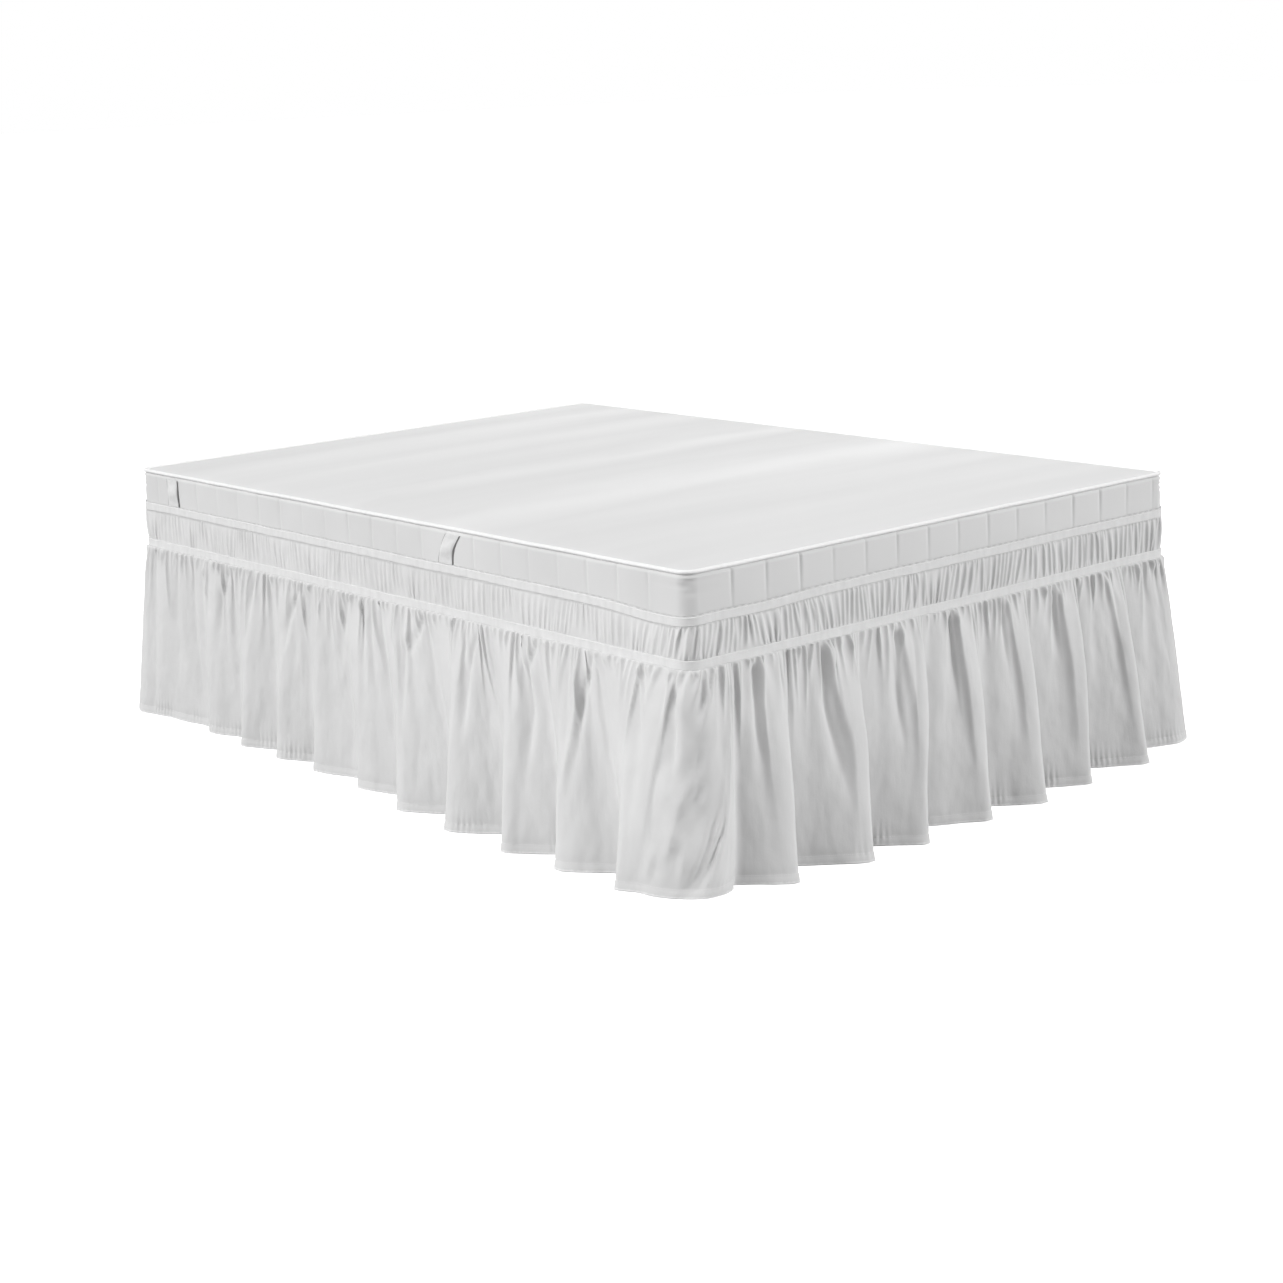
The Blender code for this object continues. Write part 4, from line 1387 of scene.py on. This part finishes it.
def make_ruffle(material):
    """The ruffle: gathers under the tape run together into uneven folds down to the turned hem.

    Gives the lines of the hem's stitches.
    """
    rng = unevenness("ruffle")
    cloth = hem_cloth()
    drop = ruffle_rows()
    points, station = folded(rng, cloth, drop)
    points = hung(points, drop)
    relief = ruffle_relief(rng, cloth, drop, station, points)
    facing = outward(points)
    points = points + facing * relief[..., None]
    points[..., 2] = np.maximum(points[..., 2], FLOOR_CLEARANCE)
    along = cloth.flat[None, :] / cloth.length
    points[-1, :, 2] = 0.0003 + 0.0006 * (1 + crumple(rng, along, 0 * along, 150, 1)[0])
    sewn = around(cloth.top_station, SEWN_OUT, RUFFLE_TOP + SEWN_ABOVE)[None]
    turned_up = points[[-1, -3, -5]] - facing[[-1, -3, -5]] * HEM_THICKNESS
    turned_up[0, :, 2] = points[-1, :, 2] + 0.0004
    near = np.concatenate([sewn, points, turned_up])
    # The hidden half has every second column of this one.
    whole = np.concatenate([near, turned(near[:, ::2])], axis=1)
    flat_u = np.concatenate([cloth.flat, cloth.length + cloth.flat[::2]])
    flat_u = np.tile(flat_u, (len(whole), 1))
    hem_v = [-0.001, -0.005, -HEM_WIDTH]
    flat_v = np.concatenate([[RUFFLE_TOP + SEWN_ABOVE], RUFFLE_TOP - drop[:, 0], hem_v])
    flat_v = np.tile(flat_v[:, None], (1, whole.shape[1]))
    ruffle = grid_object("gathered_ruffle", whole, flat_u, flat_v, material)
    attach(ruffle, "root")
    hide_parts("skirt_ruffle")
    stitch_line = points[-5] + facing[-5] * STITCH_LIFT
    return [np.concatenate([stitch_line, turned(stitch_line)])]


def hem_relief(rng, flat, drop):
    """The turned hem: thicker below its stitch line, with small puckers on both sides of it."""
    above_floor = DROP - drop
    band = HEM_PROUD * smooth((HEM_WIDTH - above_floor) / 0.004)
    groove = -HEM_GROOVE_DEPTH * bump(above_floor - HEM_WIDTH, HEM_GROOVE_WIDTH)
    uneven = 2.5 * np.sin(flat * 5.1) + 1.7 * np.sin(flat * 13.7)
    wave = np.sin(2 * math.pi * flat / HEM_PUCKER_PITCH + uneven)
    strength = np.maximum(0.1 + 1.1 * crumple(rng, flat / flat.max(), 0 * flat, 90, 1), 0.0)
    pucker = HEM_PUCKER_HEIGHT * wave * strength * bump(above_floor - HEM_WIDTH, HEM_PUCKER_REACH)
    return band + groove + pucker


# ---------------------------------------------------------------- threads and wood


def make_stitches(name, lines, closed, thread):
    values = {
        "Pitch": STITCH_PITCH,
        "Length": STITCH_LENGTH,
        "Thickness": STITCH_THICKNESS,
        "Unevenness": STITCH_UNEVENNESS,
        "Seed": SEEDS["stitches"],
        "Thread": thread,
    }
    stitches = grown(name, lines, closed, bpy.data.node_groups["stitch_row"], values)
    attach(stitches, "root")


def finish_bed_base():
    """The hidden bed base and its legs keep their solids, in plain wood."""
    board = wood("base_wood", (0.52, 0.38, 0.24), (0.36, 0.24, 0.14), (40.0, 3.0, 40.0))
    leg = wood("leg_wood", (0.30, 0.19, 0.11), (0.18, 0.11, 0.06), (50.0, 50.0, 5.0))
    for name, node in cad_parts.items():
        if name == "bed_base":
            node.material_slots[0].material = board
        elif name.startswith("bed_leg"):
            node.material_slots[0].material = leg


# ---------------------------------------------------------------- stage


def make_camera():
    """A long lens from the front left, a little above the mattress, tilted slightly."""
    camera_data = bpy.data.cameras.new("camera")
    camera_data.lens = LENS
    camera_data.sensor_width = SENSOR
    camera_data.clip_end = 200.0
    camera = bpy.data.objects.new("camera", camera_data)
    bpy.context.scene.collection.objects.link(camera)
    turn = Matrix.Rotation(math.radians(CAMERA_TURN), 4, "Z")
    tilt = Matrix.Rotation(math.radians(90.0 - CAMERA_TILT), 4, "X")
    roll = Matrix.Rotation(math.radians(CAMERA_ROLL), 4, "Z")
    camera.matrix_world = Matrix.Translation(CAMERA_PLACE) @ turn @ tilt @ roll
    bpy.context.scene.camera = camera


def make_lamp(name, direction, spread, strength):
    """A very wide soft light from this direction, spread over this angle in degrees."""
    lamp_data = bpy.data.lights.new(name, "SUN")
    lamp_data.energy = strength
    lamp_data.angle = math.radians(spread)
    lamp = bpy.data.objects.new(name, lamp_data)
    lamp.location = 6.0 * Vector(direction).normalized()
    lamp.rotation_mode = "QUATERNION"
    lamp.rotation_quaternion = Vector(direction).to_track_quat("Z", "Y")
    bpy.context.scene.collection.objects.link(lamp)


def make_floor():
    mesh = bpy.data.meshes.new("floor")
    reach = 80.0
    corners = [(-reach, -reach, 0.0), (reach, -reach, 0.0), (reach, reach, 0.0), (-reach, reach, 0.0)]
    mesh.from_pydata(corners, [], [(0, 1, 2, 3)])
    mesh.materials.append(pale_floor())
    floor = bpy.data.objects.new("floor", mesh)
    bpy.context.scene.collection.objects.link(floor)


def make_surroundings():
    """White surroundings that shine softly on the bed and show as a white backdrop."""
    world = bpy.data.worlds.new("studio")
    world.use_nodes = True
    nodes = world.node_tree.nodes
    links = world.node_tree.links
    glow = nodes["Background"]
    glow.inputs["Color"].default_value = (1.0, 1.0, 1.0, 1.0)
    seen = nodes.new("ShaderNodeLightPath")
    strength = nodes.new("ShaderNodeMapRange")
    strength.inputs["To Min"].default_value = SURROUNDINGS_GLOW
    strength.inputs["To Max"].default_value = 1.0
    links.new(seen.outputs["Is Camera Ray"], strength.inputs["Value"])
    links.new(strength.outputs["Result"], glow.inputs["Strength"])
    bpy.context.scene.world = world
    bpy.context.scene.view_settings.view_transform = "Standard"


def make_stage():
    make_floor()
    make_surroundings()
    for name, (direction, spread, strength) in LAMPS.items():
        make_lamp(name, direction, spread, strength)


# ---------------------------------------------------------------- all of it


def main():
    make_camera()
    make_stage()
    stitch_tree()
    thread = sewing_thread()
    make_mattress(ticking())
    make_piping(satin_cord())
    webbing = strap_webbing()
    strap_lines = []
    for name, (side, y_middle, skew) in HANDLES.items():
        strap_lines += make_handle(name, side, y_middle, skew, webbing)
    make_stitches("strap_stitches", strap_lines, False, thread)
    band = elastic()
    tape_lines = make_tape("upper_elastic", "upper_tape", UPPER_TAPE_MIDDLE, band, slipped=1.0)
    tape_lines += make_tape("lower_elastic", "lower_tape", LOWER_TAPE_MIDDLE, band)
    make_stitches("tape_stitches", tape_lines, True, thread)
    # The heading's cloth is the ruffle's, painted lighter to make up for the shade of its recess
    # between the tapes.
    make_heading(brushed_cloth("heading_cloth", 0.74))
    hem_lines = make_ruffle(brushed_cloth("ruffle_cloth", 0.70))
    make_stitches("hem_stitches", hem_lines, True, thread)
    finish_bed_base()


main()
